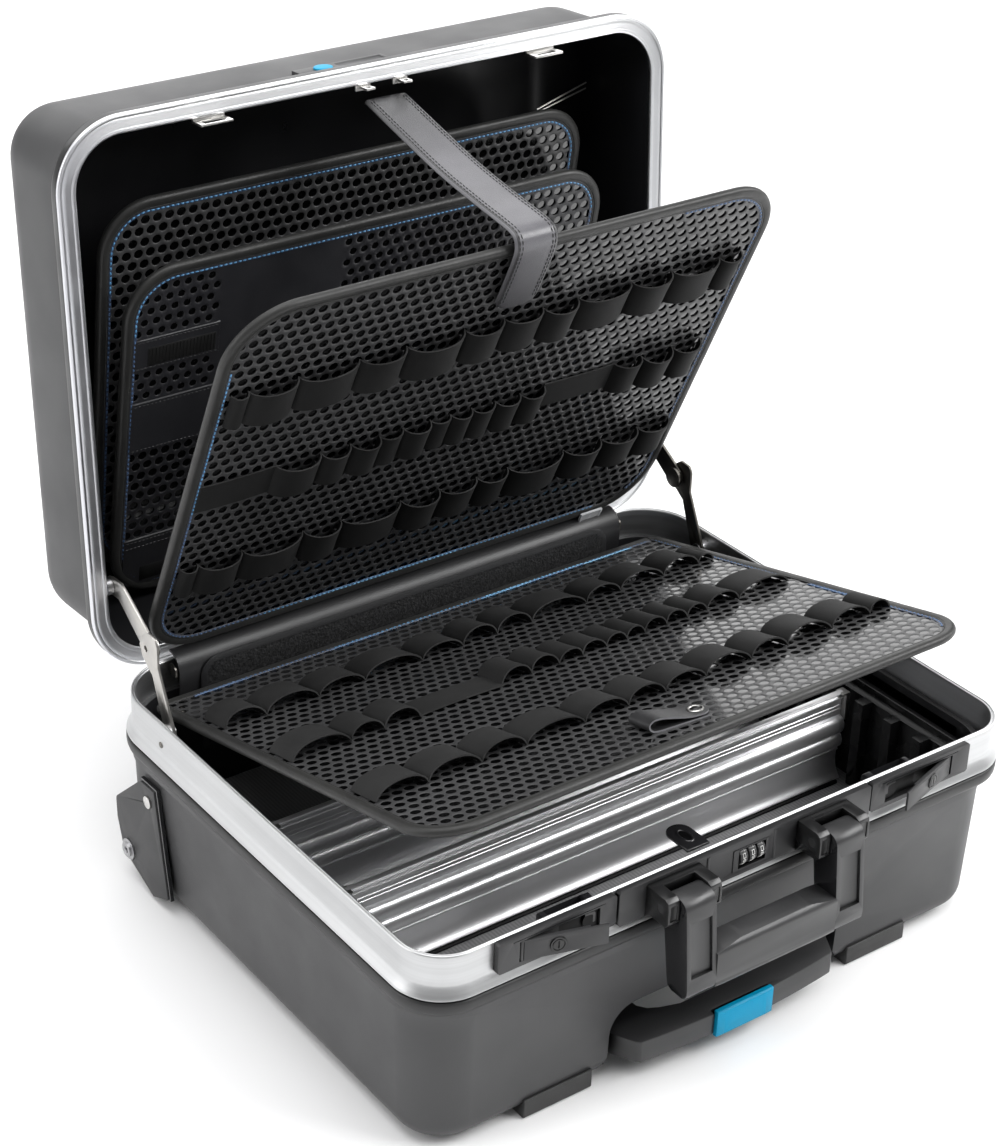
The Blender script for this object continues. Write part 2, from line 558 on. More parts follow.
dark_inside("lid_shell", row(lid((0, 0, 55)))[0], M["liner"])
dark_inside("base_shell", row((0, 0, -75))[0], M["liner"])
for name in ("stay_lower_arms", "stay_upper_arms"):
    me = NODES[name].data
    me.materials.append(M["stay_dark"])
    me.polygons.foreach_set("material_index", [1 if p.center.x > 0 else 0 for p in me.polygons])
me = NODES["carry_handle"].data
me.materials.append(M["gloss"])
me.polygons.foreach_set("material_index", [1 if p.normal.x < -0.95 else 0 for p in me.polygons])


# ------------------------------------------------------------------ stage, camera, light
def stage():
    az, el, roll = (math.radians(a) for a in (-35.876, 27.857, 1.30))
    back = Vector((math.sin(az) * math.cos(el), -math.cos(az) * math.cos(el), math.sin(el)))
    right = Vector((0, 0, 1)).cross(back).normalized()
    up = back.cross(right)
    r2 = math.cos(roll) * right + math.sin(roll) * up
    u2 = -math.sin(roll) * right + math.cos(roll) * up
    cam = bpy.data.objects.new("view_camera", bpy.data.cameras.new("view_camera"))
    bpy.context.scene.collection.objects.link(cam)
    cam.data.sensor_width = 36.0
    cam.data.sensor_fit = "AUTO"
    cam.data.lens = 2513.96 * 36.0 / 1146.0
    cam.data.shift_x = (500 - 442.15) / 1146.0
    cam.data.shift_y = (502.19 - 573.0) / 1146.0
    cam.data.clip_start, cam.data.clip_end = 0.05, 60
    loc = Vector((-0.102454, -Y_MID / 1000, 0.337601)) + back * 1.59145
    m = Matrix((r2, u2, back)).transposed().to_4x4()
    m.translation = loc
    cam.matrix_world = m
    bpy.context.scene.camera = cam

    k = Mat("stage_floor")
    k.set(Specular_IOR_Level=0.2)
    k.link(k.ramp(k.noise(0.8, detail=2.0), 0.3, 0.7, (0.86, 0.86, 0.865), (0.88, 0.88, 0.88)), "Base Color")
    k.link(k.span(k.noise(3.0), 0.6, 0.7), "Roughness")
    s = 9.0
    f = make("stage_floor", [(-s, -s, 0), (s, -s, 0), (s, s, 0), (-s, s, 0)], [(0, 1, 2, 3)], k.m, in_row=True, smooth=False)

    w = bpy.data.worlds.new("studio")
    bpy.context.scene.world = w
    w.use_nodes = True
    nt = w.node_tree
    bg = nt.nodes["Background"]
    tc = nt.nodes.new("ShaderNodeTexCoord")
    sep = nt.nodes.new("ShaderNodeSeparateXYZ")
    nt.links.new(tc.outputs["Generated"], sep.inputs[0])
    rp = nt.nodes.new("ShaderNodeValToRGB")
    rp.color_ramp.elements[0].position, rp.color_ramp.elements[0].color = 0.0, (0.95, 0.95, 0.955, 1)
    rp.color_ramp.elements[1].position, rp.color_ramp.elements[1].color = 1.0, (0.42, 0.42, 0.43, 1)
    e = rp.color_ramp.elements.new(0.35)
    e.color = (0.80, 0.80, 0.81, 1)
    nt.links.new(sep.outputs["Z"], rp.inputs["Fac"])
    side = nt.nodes.new("ShaderNodeMapRange")
    side.interpolation_type = "SMOOTHSTEP"
    for q, v in (("From Min", -0.1), ("From Max", 0.85), ("To Min", 1.0), ("To Max", 0.25)):
        side.inputs[q].default_value = v
    nt.links.new(sep.outputs["X"], side.inputs["Value"])
    mul = nt.nodes.new("ShaderNodeMix")
    mul.data_type, mul.blend_type = "RGBA", "MULTIPLY"
    mul.inputs[0].default_value = 1.0
    nt.links.new(rp.outputs["Color"], mul.inputs[6])
    nt.links.new(side.outputs["Result"], mul.inputs[7])
    nt.links.new(mul.outputs[2], bg.inputs["Color"])
    bg.inputs["Strength"].default_value = 0.40

    def area(name, loc, look, size, power, color=(1, 1, 1)):
        d = bpy.data.lights.new(name, "AREA")
        d.shape, d.size, d.size_y, d.energy, d.color = "RECTANGLE", size[0], size[1], power, color
        o = bpy.data.objects.new(name, d)
        bpy.context.scene.collection.objects.link(o)
        o.location = loc
        o.rotation_euler = (Vector(look) - Vector(loc)).to_track_quat("-Z", "Y").to_euler()
        return o

    area("soft_top", (-0.2, 0.0, 2.9), (0, 0, 0.2), (3.4, 3.0), 98)
    area("soft_left", (-2.4, 0.9, 1.3), (0, 0, 0.3), (1.6, 2.0), 36)
    area("soft_front", (1.9, -1.75, 2.2), (0, -0.05, 0.15), (2.2, 1.4), 92)
    area("soft_right", (2.4, -0.5, 1.3), (0, 0.1, 0.15), (1.4, 1.6), 26)
    area("soft_horizon", (2.4, 3.3, 0.62), (0.2, 0.0, 0.2), (2.8, 0.9), 15)
    area("soft_back", (1.1, 3.3, 2.3), (0.1, 0.6, 0.0), (5.6, 2.4), 84)
    sc = bpy.context.scene
    sc.view_settings.view_transform = "Standard"
    sc.view_settings.look = "None"
    sc.view_settings.exposure = 0.0


stage()


# ------------------------------------------------------------------ boards
def outline(w, h0, h1, r, step=9.0, corner=14):
    """Closed rounded rectangle as points and outward normals, from the lower right corner round."""
    pts, nrm, par = [], [], []
    hw = w / 2
    ra, rb = r if isinstance(r, tuple) else (r, r)
    cs = [(hw - ra, h0 + ra, -90), (hw - rb, h1 - rb, 0), (-(hw - rb), h1 - rb, 90), (-(hw - ra), h0 + ra, 180)]
    for i, (cx, cy, a0) in enumerate(cs):
        r = (ra, rb, rb, ra)[i]
        for k in range(corner + 1):
            t = math.radians(a0 + 90 * k / corner)
            pts.append((cx + r * math.cos(t), cy + r * math.sin(t)))
            nrm.append((math.cos(t), math.sin(t)))
        nx, ny, b0 = cs[(i + 1) % 4]
        a = np.array(pts[-1])
        t = math.radians(b0)
        r = (rb, rb, ra, ra)[i]
        b = np.array([nx + r * math.cos(t), ny + r * math.sin(t)])
        n = max(1, int(np.linalg.norm(b - a) / step))
        for k in range(1, n):
            pts.append(tuple(a + (b - a) * k / n))
            nrm.append(nrm[-1])
    return np.array(pts), np.array(nrm)


def sdist(x, y, w, h0, h1, r):
    """Signed distance to the rounded rectangle, negative inside."""
    if isinstance(r, tuple):
        r = np.where(np.asarray(y) < (h0 + h1) / 2, r[0], r[1])
    qx = np.abs(x) - (w / 2 - r)
    qy = np.abs(y - (h0 + h1) / 2) - ((h1 - h0) / 2 - r)
    return np.hypot(np.maximum(qx, 0), np.maximum(qy, 0)) + np.minimum(np.maximum(qx, qy), 0) - r


def pull_in(x, y, w, h0, h1, r, inset):
    """Points outside the outline inset by that much move onto it."""
    if isinstance(r, tuple):
        r = np.where(np.asarray(y) < (h0 + h1) / 2, r[0], r[1])
    hw, hh, cy, rr = w / 2 - inset, (h1 - h0) / 2 - inset, (h0 + h1) / 2, r - inset
    sx, sy = np.sign(x), np.sign(y - cy)
    ax, ay = np.minimum(np.abs(x), hw), np.minimum(np.abs(y - cy), hh)
    cx, cyy = hw - rr, hh - rr
    dx, dy = ax - cx, ay - cyy
    d = np.hypot(dx, dy)
    k = (dx > 0) & (dy > 0) & (d > rr)
    ax = np.where(k, cx + dx * rr / np.maximum(d, 1e-9), ax)
    ay = np.where(k, cyy + dy * rr / np.maximum(d, 1e-9), ay)
    return sx * ax, cy + sy * ay


PX, PY = 9.2, 8.5


def perforated(b, pl, w, h0, h1, r, top, depth, flat=(), hole=(3.5, 3.3), phase=(0.0, 0.0), m=0, m_wall=6, shallow=(), m_cap=7):
    """A sheet with rows of round holes, staggered by half a pitch, joined cell to cell."""
    t = (PX * PX / 4 + PY * PY) / (2 * PY)
    s = (PY * PY - PX * PX / 4) / (2 * PY)
    hexa = np.array([(PX / 2, -s), (PX / 2, s), (0, t), (-PX / 2, s), (-PX / 2, -s), (0, -t)])
    rim = []
    for i in range(6):
        rim += [hexa[i], (hexa[i] + hexa[(i + 1) % 6]) / 2]
    rim = np.array(rim)
    ang = np.arctan2(rim[:, 1], rim[:, 0])
    ring = np.stack([hole[0] * np.cos(ang), hole[1] * np.sin(ang)], 1)
    rows = int((h1 - h0) / PY) + 2
    cols = int(w / PX) + 3
    cells = []
    for j in range(rows):
        y = h0 + 3.5 + phase[1] + j * PY
        for i in range(-cols // 2 - 1, cols // 2 + 2):
            x = (i + 0.5 * (j % 2)) * PX + phase[0]
            cells.append((x, y))
    cells = np.array(cells)
    keep = sdist(cells[:, 0], cells[:, 1], w, h0, h1, r) < -1.5
    cells = cells[keep]
    verts, faces, walls, caps, idx = [], [], [], [], {}

    def vert(x, y, h):
        key = (round(x * 20), round(y * 20), round(h * 50))
        if key not in idx:
            idx[key] = len(verts)
            verts.append((x, y, h))
        return idx[key]

    for cx, cy in cells:
        ox, oy = pull_in(cx + rim[:, 0], cy + rim[:, 1], w, h0, h1, r, 2.6)
        outer = [vert(x, y, top) for x, y in zip(ox, oy)]
        blocked = any(a <= cx <= c and bb <= cy <= d for a, bb, c, d in flat)
        near = sdist(cx, cy, w, h0, h1, r) > -4.5
        if blocked or near:
            faces.append(tuple(outer))
            continue
        n = 12
        dim = any(a <= cx <= c and bb <= cy <= d for a, bb, c, d in shallow)
        jx, jy = RNG.normal(0, 0.05, 2)
        base = len(verts)
        for sc, dh in (((0.90, 0.0), (0.82, -0.26), (0.79, -depth)) if dim else ((1.10, 0.0), (1.0, -0.26), (0.965, -depth))):
            for k in range(n):
                verts.append((cx + jx + ring[k, 0] * sc, cy + jy + ring[k, 1] * sc, top + dh))
        for k in range(n):
            q = (k + 1) % n
            faces.append((outer[k], outer[q], base + q, base + k))
            faces.append((base + k, base + q, base + n + q, base + n + k))
            walls.append((base + n + k, base + n + q, base + 2 * n + q, base + 2 * n + k))
    v = np.array(verts)
    good = [f for f in faces if len(set((round(v[i][0], 3), round(v[i][1], 3), round(v[i][2], 3)) for i in f)) >= 3]
    b.add(pl(v[:, 0], v[:, 1], v[:, 2]), good + caps + walls, m)
    b.m[-len(walls):] = [m_wall] * len(walls)
    if caps:
        b.m[-len(walls) - len(caps):-len(walls)] = [m_cap] * len(caps)


def slab_faces(b, pl, w, h0, h1, r, inset, top, low, m_top, m_low):
    p, n = outline(w, h0, h1, r, step=40, corner=8)
    q = p - n * inset
    k = len(q)
    b.add(pl(q[:, 0], q[:, 1], top), [tuple(range(k))], m_top)
    b.add(pl(q[:, 0], q[:, 1], low), [tuple(range(k))[::-1]], m_low)


BIND = [(-8.3, 1.95), (-8.25, 2.35), (-7.9, 2.6), (-7.35, 2.62), (-7.0, 2.4), (-6.7, 2.62), (-5.6, 2.95), (-4.4, 3.15), (-3.3, 3.2), (-2.1, 3.0), (-1.05, 2.35), (-0.35, 1.35), (-0.05, 0.0),
        (-0.35, -1.35), (-1.05, -2.35), (-2.1, -3.0), (-3.3, -3.2), (-4.4, -3.15), (-5.6, -2.9), (-7.0, -2.6), (-8.2, -2.3), (-8.3, -1.9)]


def binding(b, pl, w, h0, h1, r, m, wob=0.12):
    p, n = outline(w, h0, h1, r)
    k = len(p)
    ph = RNG.uniform(0, 6.28, 3)
    s = np.arange(k) / k * 2 * math.pi
    dw = wob * (np.sin(9 * s + ph[0]) + 0.7 * np.sin(17 * s + ph[1]) + 0.5 * np.sin(31 * s + ph[2]))
    verts = []
    for i in range(k):
        for u, h in BIND:
            uu = u + min(0.0, dw[i]) if u < -6 else u
            verts.append((*(p[i] + n[i] * uu), h))
    v = np.array(verts)
    b.add(pl(v[:, 0], v[:, 1], v[:, 2]), grid_faces(k, len(BIND), close_n=True, close_m=True), m)


def stitched(b, pl, w, h0, h1, r, inset, top, spans, m_base, m_thread, pitch=3.75, length=2.6):
    """Blue tape with a run of stitches, over the given spans of the outline (0..1 from the lower right, anticlockwise)."""
    p, n = outline(w, h0, h1, r, step=3.0, corner=16)
    q = p - n * inset
    d = np.r_[0, np.cumsum(np.linalg.norm(np.diff(np.vstack([q, q[:1]]), axis=0), axis=1))]
    total = d[-1]
    qx, qy = np.r_[q[:, 0], q[0, 0]], np.r_[q[:, 1], q[0, 1]]
    nx, ny = np.r_[n[:, 0], n[0, 0]], np.r_[n[:, 1], n[0, 1]]

    def at(s):
        s = s % total
        return np.array([np.interp(s, d, qx), np.interp(s, d, qy)]), np.array([np.interp(s, d, nx), np.interp(s, d, ny)])

    for span in spans:
        a, c = span[0] * total, span[1] * total
        m_base, m_thread = ((4, 5), (13, 12), (11, 10))[span[2] if len(span) > 2 else 0]
        m = max(2, int((c - a) / 3.0))
        verts = []
        for i in range(m + 1):
            x, nn = at(a + (c - a) * i / m)
            for u, h in ((-1.35, 0.0), (-1.15, 0.3), (1.05, 0.3), (1.25, 0.0)):
                verts.append((*(x + nn * u), top + h))
        v = np.array(verts)
        b.add(pl(v[:, 0], v[:, 1], v[:, 2]), grid_faces(m + 1, 4), m_base)
        s = a
        while s + length < c:
            verts = []
            seg = 5
            off = RNG.normal(0, 0.08)
            for i in range(seg + 1):
                x, nn = at(s + length * i / seg)
                z = math.sin(math.pi * i / seg)
                rad = 0.16 + 0.34 * z ** 0.5
                for kk in range(6):
                    t = 2 * math.pi * kk / 6
                    verts.append((*(x + nn * (off + rad * math.cos(t) * 1.25)), top + 0.3 + 0.22 * z + rad * math.sin(t) * 0.8))
            v = np.array(verts)
            b.add(pl(v[:, 0], v[:, 1], v[:, 2]), grid_faces(seg + 1, 6, close_m=True) + [tuple(range(6)), tuple(seg * 6 + kk for kk in range(6))], m_thread)
            s += pitch * (1 + RNG.normal(0, 0.03))


def panel(b, pl, x0, x1, v0, v1, low, top, m, edge=0.5, bumpy=0.0):
    """A sewn-on layer with rolled edges."""
    nx, nv = max(2, int((x1 - x0) / 6)), max(2, int((v1 - v0) / 5))
    xs = np.r_[x0, x0 + edge, np.linspace(x0, x1, nx + 1)[1:-1], x1 - edge, x1]
    vs = np.r_[v0, v0 + edge, np.linspace(v0, v1, nv + 1)[1:-1], v1 - edge, v1]
    X, V = np.meshgrid(xs, vs, indexing="ij")
    H = np.full(X.shape, float(top))
    H[0], H[-1], H[:, 0], H[:, -1] = low, low, low, low
    if bumpy:
        H[1:-1, 1:-1] += bumpy * (np.sin(X[1:-1, 1:-1] * 0.11 + 0.7) * np.sin(V[1:-1, 1:-1] * 0.13) + 1)
    b.add(pl(X.ravel(), V.ravel(), H.ravel()), grid_faces(len(xs), len(vs)), m)


def seam(b, pl, p0, p1, top, m, pitch=3.2, length=2.3, rad=0.28):
    """A straight run of stitches from p0 to p1."""
    p0, p1 = np.array(p0, float), np.array(p1, float)
    L = np.linalg.norm(p1 - p0)
    d = (p1 - p0) / L
    s = 0.5
    while s + length < L:
        q = [p0 + d * (s + length * t) for t in (0, 0.3, 0.7, 1)]
        hs = [top - 0.1, top + 0.22, top + 0.22, top - 0.1]
        pts = pl([a[0] for a in q], [a[1] for a in q], hs)
        vv, ff = tube(pts, [rad * 0.5, rad, rad, rad * 0.5], 5)
        b.add(vv, ff, m)
        s += pitch


def mid_extras(b, pl):
    """The pockets sewn to the middle board."""
    panel(b, pl, -193.5, 193.5, 127.5, 169.5, 2.0, 2.9, 7, bumpy=0.10)
    panel(b, pl, -193.5, -126.5, 195.5, 221, 2.0, 2.7, 7)
    panel(b, pl, -183, -129.5, 199, 213.5, 2.7, 3.15, 8)
    for i in range(20):
        x = -182 + i * 2.7
        vv, ff = tube(pl([x, x], [199.6, 212.9], [3.2, 3.2]), 0.42, 5)
        b.add(vv, ff, 8)
    panel(b, pl, -193.5, 193.5, 9.5, 51.5, 2.0, 2.8, 7, bumpy=0.08)
    panel(b, pl, -179, -150, 12.5, 25, 2.8, 3.3, 8)
    for v in (198, 219):
        seam(b, pl, (-192, v), (-128, v), 2.75, 9)
    for v in (130, 167, 49, 44):
        seam(b, pl, (-192, v), (192, v), 2.85, 9)


def board(name, node, body, pl, w, h0, h1, r, spans, flat=(), phase=(0, 0), stitch_inset=9.35, mats=None, extra=None, shallow=(), m_sheet=0, depth=1.15):
    b = Build()
    slab_faces(b, pl, w, h0, h1, r, 3.4, 2.05 - depth, -1.9, 1, 2)
    perforated(b, pl, w, h0, h1, r, 2.0, depth, flat, phase=phase, m=m_sheet, shallow=shallow)
    binding(b, pl, w, h0, h1, r, 3)
    stitched(b, pl, w, h0, h1, r, stitch_inset, 2.0, spans, 4, 5)
    if extra:
        extra(b, pl)
    o = b.out(name, mats or [M["sheet"], M["back"], M["pocket"], M["binding"], M["thread_base"], M["thread_blue"], M["wall"], M["panel"], M["knit"], M["thread_dark"], M["thread_bright"], M["base_bright"], M["thread_mid"], M["base_mid"]], body, sharp=50)
    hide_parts(node)
    return o


# spans run from the lower right corner's start (0) up the right side, over the top, down the left and back along the bottom
board("front_tool_board", "front_board", "front_board", FRONT, 446, 0, 339, 48, [(0.02, 0.285), (0.545, 0.64, 1), (0.64, 0.79), (0.79, 0.815, 1), (0.815, 0.91, 2), (0.91, 0.999, 1)])
board("middle_tool_board", "mid_board", "mid_board", MID, 405, 0, 275, 40, [(0.0, 0.2), (0.2, 0.55, 1), (0.55, 0.999)], flat=[(-130, 168, -30, 275), (-200, 124, 200, 173), (-200, 0, 200, 54), (-190, 194, -126, 222)], phase=(2.1, 1.0), extra=mid_extras, shallow=[(-200, 171, 40, 275)], m_sheet=7)
board("rear_tool_board", "rear_board", "rear_board", REAR, 408, 9, 311, 39, [(0.0, 0.2), (0.2, 0.56, 1), (0.56, 0.999)], phase=(1.3, 2.2))
board("base_tool_board", "base_board", "base_board", TRAY, 451, 0, 346, (10.5, 36), [(0.0, 0.10), (0.12, 0.215), (0.725, 0.80), (0.80, 0.89, 1), (0.89, 0.955, 2), (0.955, 0.999)], phase=(0.6, 0.4), depth=0.36)


# ------------------------------------------------------------------ elastic loops
def band(b, pl, xs, v_top, h, top=2.05, slope=0.0, big=9.5, share=0.30, thick=1.0, flare=0.12, m=0, m_edge=1, fold=+1):
    """One elastic band sewn down at every xs; each stretch between stands off the board.
    v_top is the open edge; the band runs h away from it (fold +1 down the panel, -1 up)."""
    prof = []
    seg = 14
    for i in range(len(xs) - 1):
        a, c = xs[i], xs[i + 1]
        wd = c - a
        q = min(big, wd * share + 1.6) * (1 + RNG.normal(0, 0.07))
        lean = RNG.normal(0, 0.05)
        for k in range(seg + (1 if i == len(xs) - 2 else 0)):
            t = k / seg
            s = math.sin(math.pi * t)
            z = q * (s ** 0.72)
            x = a + wd * t + lean * wd * math.sin(math.pi * t) * 0.5 - 0.06 * wd * math.sin(2 * math.pi * t)
            prof.append((x, z, 1.0 if k else 0.0))
    prof = np.array(prof)
    d = np.gradient(prof[:, :2], axis=0)
    d /= np.linalg.norm(d, axis=1)[:, None]
    nrm = np.stack([-d[:, 1], d[:, 0]], 1)
    low = prof[:, :2] + nrm * 0.0
    hi = prof[:, :2] + nrm * thick
    hi[:, 1] = np.maximum(hi[:, 1], thick * 0.9)
    rows = 7
    verts = []
    n = len(prof)
    for j in range(rows):
        t = j / (rows - 1)
        v = v_top - fold * h * t
        k = 1.0 + flare * (0.5 - t) - 0.10 * math.sin(math.pi * t) * 0.5
        wav = 0.35 * np.sin(prof[:, 0] * 0.09 + 1.3 * j)
        for arr in (low, hi):
            hh = top + 0.1 + arr[:, 1] * k
            verts.append(np.stack([arr[:, 0], v + slope * arr[:, 0] + (wav * 0.25 if j in (0, rows - 1) else 0), hh], 1))
    v = np.concatenate(verts)
    faces, mi = [], []

    def idx(j, side, i):
        return (j * 2 + side) * n + i

    for j in range(rows - 1):
        for i in range(n - 1):
            faces.append((idx(j, 1, i), idx(j, 1, i + 1), idx(j + 1, 1, i + 1), idx(j + 1, 1, i))); mi.append(m)
            faces.append((idx(j, 0, i), idx(j + 1, 0, i), idx(j + 1, 0, i + 1), idx(j, 0, i + 1))); mi.append(m)
        for i in (0, n - 1):
            faces.append((idx(j, 0, i), idx(j, 1, i), idx(j + 1, 1, i), idx(j + 1, 0, i))); mi.append(m_edge)
    for j in (0, rows - 1):
        for i in range(n - 1):
            faces.append((idx(j, 0, i), idx(j, 0, i + 1), idx(j, 1, i + 1), idx(j, 1, i))); mi.append(m_edge)
    P = pl(v[:, 0], v[:, 1], v[:, 2])
    k0 = sum(len(a) for a in b.v)
    b.v.append(P)
    b.f += [tuple(q + k0 for q in f) for f in faces]
    b.m += mi
    # the sewn line at every stitch
    for x in xs:
        pts = [(x, v_top - fold * h * t + slope * x, top + 0.75) for t in np.linspace(0.03, 0.97, 9)]
        pts = np.array(pts)
        vv, ff = tube(pl(pts[:, 0], pts[:, 1], pts[:, 2]), 0.42, 6)
        b.add(vv, ff, m)


def flat_band(b, pl, x0, x1, v_top, h, top=2.05, slope=0.0, thick=1.1, rise=0.9, m=0, m_edge=1, fold=+1):
    nx, nv = 18, 4
    for side in (0, 1):
        verts = []
        for i in range(nx + 1):
            t = i / nx
            x = x0 + (x1 - x0) * t
            z = rise * math.sin(math.pi * t) ** 0.6
            for j in range(nv + 1):
                verts.append((x, v_top + slope * x - fold * h * j / nv, top + 0.1 + z + (thick if side else 0)))
        v = np.array(verts)
        b.add(pl(v[:, 0], v[:, 1], v[:, 2]), grid_faces(nx + 1, nv + 1), m)
    edge = []
    for (i, j) in [(i, 0) for i in range(nx + 1)] + [(nx, j) for j in range(nv + 1)] + [(i, nv) for i in range(nx, -1, -1)] + [(0, j) for j in range(nv, -1, -1)]:
        t = i / nx
        x = x0 + (x1 - x0) * t
        z = rise * math.sin(math.pi * t) ** 0.6
        for d in (0, thick):
            edge.append((x, v_top + slope * x - fold * h * j / nv, top + 0.1 + z + d))
    v = np.array(edge)
    b.add(pl(v[:, 0], v[:, 1], v[:, 2]), grid_faces(len(edge) // 2, 2), m_edge)


fb = Build()
band(fb, FRONT, [-209, -197, -160, -114, -78, -32, 0, 32, 61.5, 108, 143, 186, 206], 270.5, 28, slope=0.018)
flat_band(fb, FRONT, -213, -156, 182.5, 25, slope=0.008)
band(fb, FRONT, [-156, -121.7, -98, -75, -55.7, -33.2, -16.4, 1.4, 21.4, 43, 64.3], 182.5, 27, slope=0.008)
flat_band(fb, FRONT, 64.3, 126.5, 184.5, 24, slope=0.008)
band(fb, FRONT, [126.5, 150.4, 179, 205.6], 184.0, 27, slope=0.012)
band(fb, FRONT, [-210.6, -198, -163, -114, -83, -32.7, 0.3, 33.2, 61, 112, 146.4, 181.4, 212], 97.5, 27, slope=0.004)
o = fb.out("front_board_elastic_loops", [M["elastic"], M["elastic_edge"]], "front_board", sharp=60)
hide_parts("front_board_loops")
FRONT_LOOPS = o

bb = Build()
band(bb, TRAY, [-215, -176, -135.5, -100.5, -53.5, -17.6, 13.4, 48.4, 88, 120.6, 161, 197, 215], 272, 29, big=9.0)
band(bb, TRAY, [-215, -170, -144, -116], 174, 29, big=9.0)
flat_band(bb, TRAY, -116, -47, 174, 26)
band(bb, TRAY, [-47, -22, 1.6, 22, 43, 61, 77, 97, 116, 134, 164, 211], 172, 29, big=8.5)
band(bb, TRAY, [-214, -182, -140, -102, -54, -19, 11, 42, 92, 124, 165, 199, 213], 86, 29, big=9.0)
o = bb.out("base_board_elastic_loops", [M["elastic_tray"], M["elastic_edge"]], "base_board", sharp=60)
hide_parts("base_board_loops")
BASE_LOOPS = o


# ------------------------------------------------------------------ strap
def ribbon(b, path, x0, x1, thick, m, m_edge, m_stitch=None, rows=(3.0, 5.2), round_end=True, side=+1, crown=0.5, nx=14):
    """A leather strap along a (y, z) path; x0..x1 wide, with two sewn rows near each edge on its outer side."""
    p = smooth_path([(0, y, z) for y, z in path], 7)
    t = np.gradient(p, axis=0)
    t /= np.linalg.norm(t, axis=1)[:, None]
    n = np.cross(np.array([1.0, 0, 0]), t) * side
    s = np.r_[0, np.cumsum(np.linalg.norm(np.diff(p, axis=0), axis=1))]
    L = s[-1]
    half, cx = (x1 - x0) / 2, (x0 + x1) / 2
    out, inn = [], []
    for i in range(len(p)):
        e = L - s[i]
        rnd = 9.0
        w = half
        if round_end and e < rnd:
            w = half - rnd + math.sqrt(max(0.0, rnd * rnd - (rnd - e) ** 2))
        for j in range(nx + 1):
            u = -1 + 2 * j / nx
            uu = math.copysign(1 - (1 - abs(u)) ** 1.35, u)
            edge = 1 - abs(uu)
            dome = crown * (1 - uu ** 4)
            groove = 0.0
            d_edge = (1 - abs(uu)) * half
            rim = min(1.0, d_edge / 1.1) ** 0.5
            out.append(p[i] + n[i] * (-thick / 2 + (thick + dome) * (0.35 + 0.65 * rim)) + np.array([cx + uu * w, 0, 0]))
            inn.append(p[i] - n[i] * (thick / 2 * (0.6 + 0.4 * rim)) + np.array([cx + uu * w, 0, 0]))
    b.add(out, grid_faces(len(p), nx + 1), m)
    if m_stitch is not None:
        b.m[-(len(p) - 1) * nx:] = [3 if q % nx in (1, nx - 2) else m for q in range((len(p) - 1) * nx)]
    b.add(inn, grid_faces(len(p), nx + 1), m)
    for j in (0, nx):
        v = []
        for i in range(len(p)):
            v += [out[i * (nx + 1) + j], inn[i * (nx + 1) + j]]
        b.add(v, grid_faces(len(p), 2), m_edge)
    for i in (0, len(p) - 1):
        v = []
        for j in range(nx + 1):
            v += [out[i * (nx + 1) + j], inn[i * (nx + 1) + j]]
        b.add(v, grid_faces(nx + 1, 2), m_edge)
    if m_stitch is None:
        return
    for row_in in rows:
        for sg in (-1, 1):
            q = 4.0
            while q < L - 6.0:
                pts = []
                for k in range(5):
                    ss = q + 2.7 * k / 4
                    c = np.array([np.interp(ss, s, p[:, a]) for a in range(3)])
                    nn = np.array([np.interp(ss, s, n[:, a]) for a in range(3)])
                    rel = 1 - row_in / half
                    dome = crown * (1 - rel ** 4)
                    pts.append(c + nn * (thick / 2 + dome + 0.06 + 0.12 * math.sin(math.pi * k / 4)) + np.array([cx + sg * (half - row_in), 0, 0]))
                vv, ff = tube(pts, [0.15, 0.4, 0.46, 0.4, 0.15], 6)
                b.add(vv, ff, m_stitch)
                q += 3.6


sb = Build()
STRAP = [(217.4, 366.6), (213, 366.2), (172, 355.0), (130.5, 344.2), (92, 336.8), (66, 332.6), (56.5, 331.0), (50.5, 329.6), (46.2, 327.2), (44.2, 322.8), (44.9, 315.5), (51.8, 299.5), (59.2, 284.2), (66.4, 269.6)]
ribbon(sb, STRAP, -17.7, 16.7, 2.4, 0, 1, 2, side=-1)
strap = sb.out("lid_strap", [M["leather"], M["leather_rim"], M["thread_dark"], M["leather_rim"]], None, sharp=50)
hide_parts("strap")
STRAP_OBJ = strap


# ------------------------------------------------------------------ dividers
DIV = [(-57.6, -37.4), (-59.0, -37.2), (-60.6, -37.25), (-61.5, -37.6), (-61.9, -38.3), (-61.6, -39.0), (-60.7, -39.4), (-60.15, -39.9), (-60.15, -40.5),
       (-60.7, -41.0), (-61.6, -41.4), (-61.95, -42.1), (-61.6, -42.8), (-60.7, -43.2), (-60.2, -43.7), (-60.1, -45.5), (-60.1, -47.9), (-59.8, -48.2), (-59.8, -48.6), (-60.1, -48.9),
       (-60.12, -51.0), (-59.85, -51.3), (-59.85, -51.7), (-60.1, -52.0), (-60.15, -55.5), (-60.3, -57.0)]
DIV += [(-60.3 - 5.3 * math.sin(math.radians(a)) ** 0.9, -64.8 + 7.4 * math.cos(math.radians(a))) for a in range(10, 171, 8)]
DIV += [(-60.2, -72.0)]
DIV += [(-60.2 - 4.5 * math.sin(math.radians(a)) ** 0.8, -78.0 + 5.9 * math.cos(math.radians(a))) for a in range(10, 171, 8)]
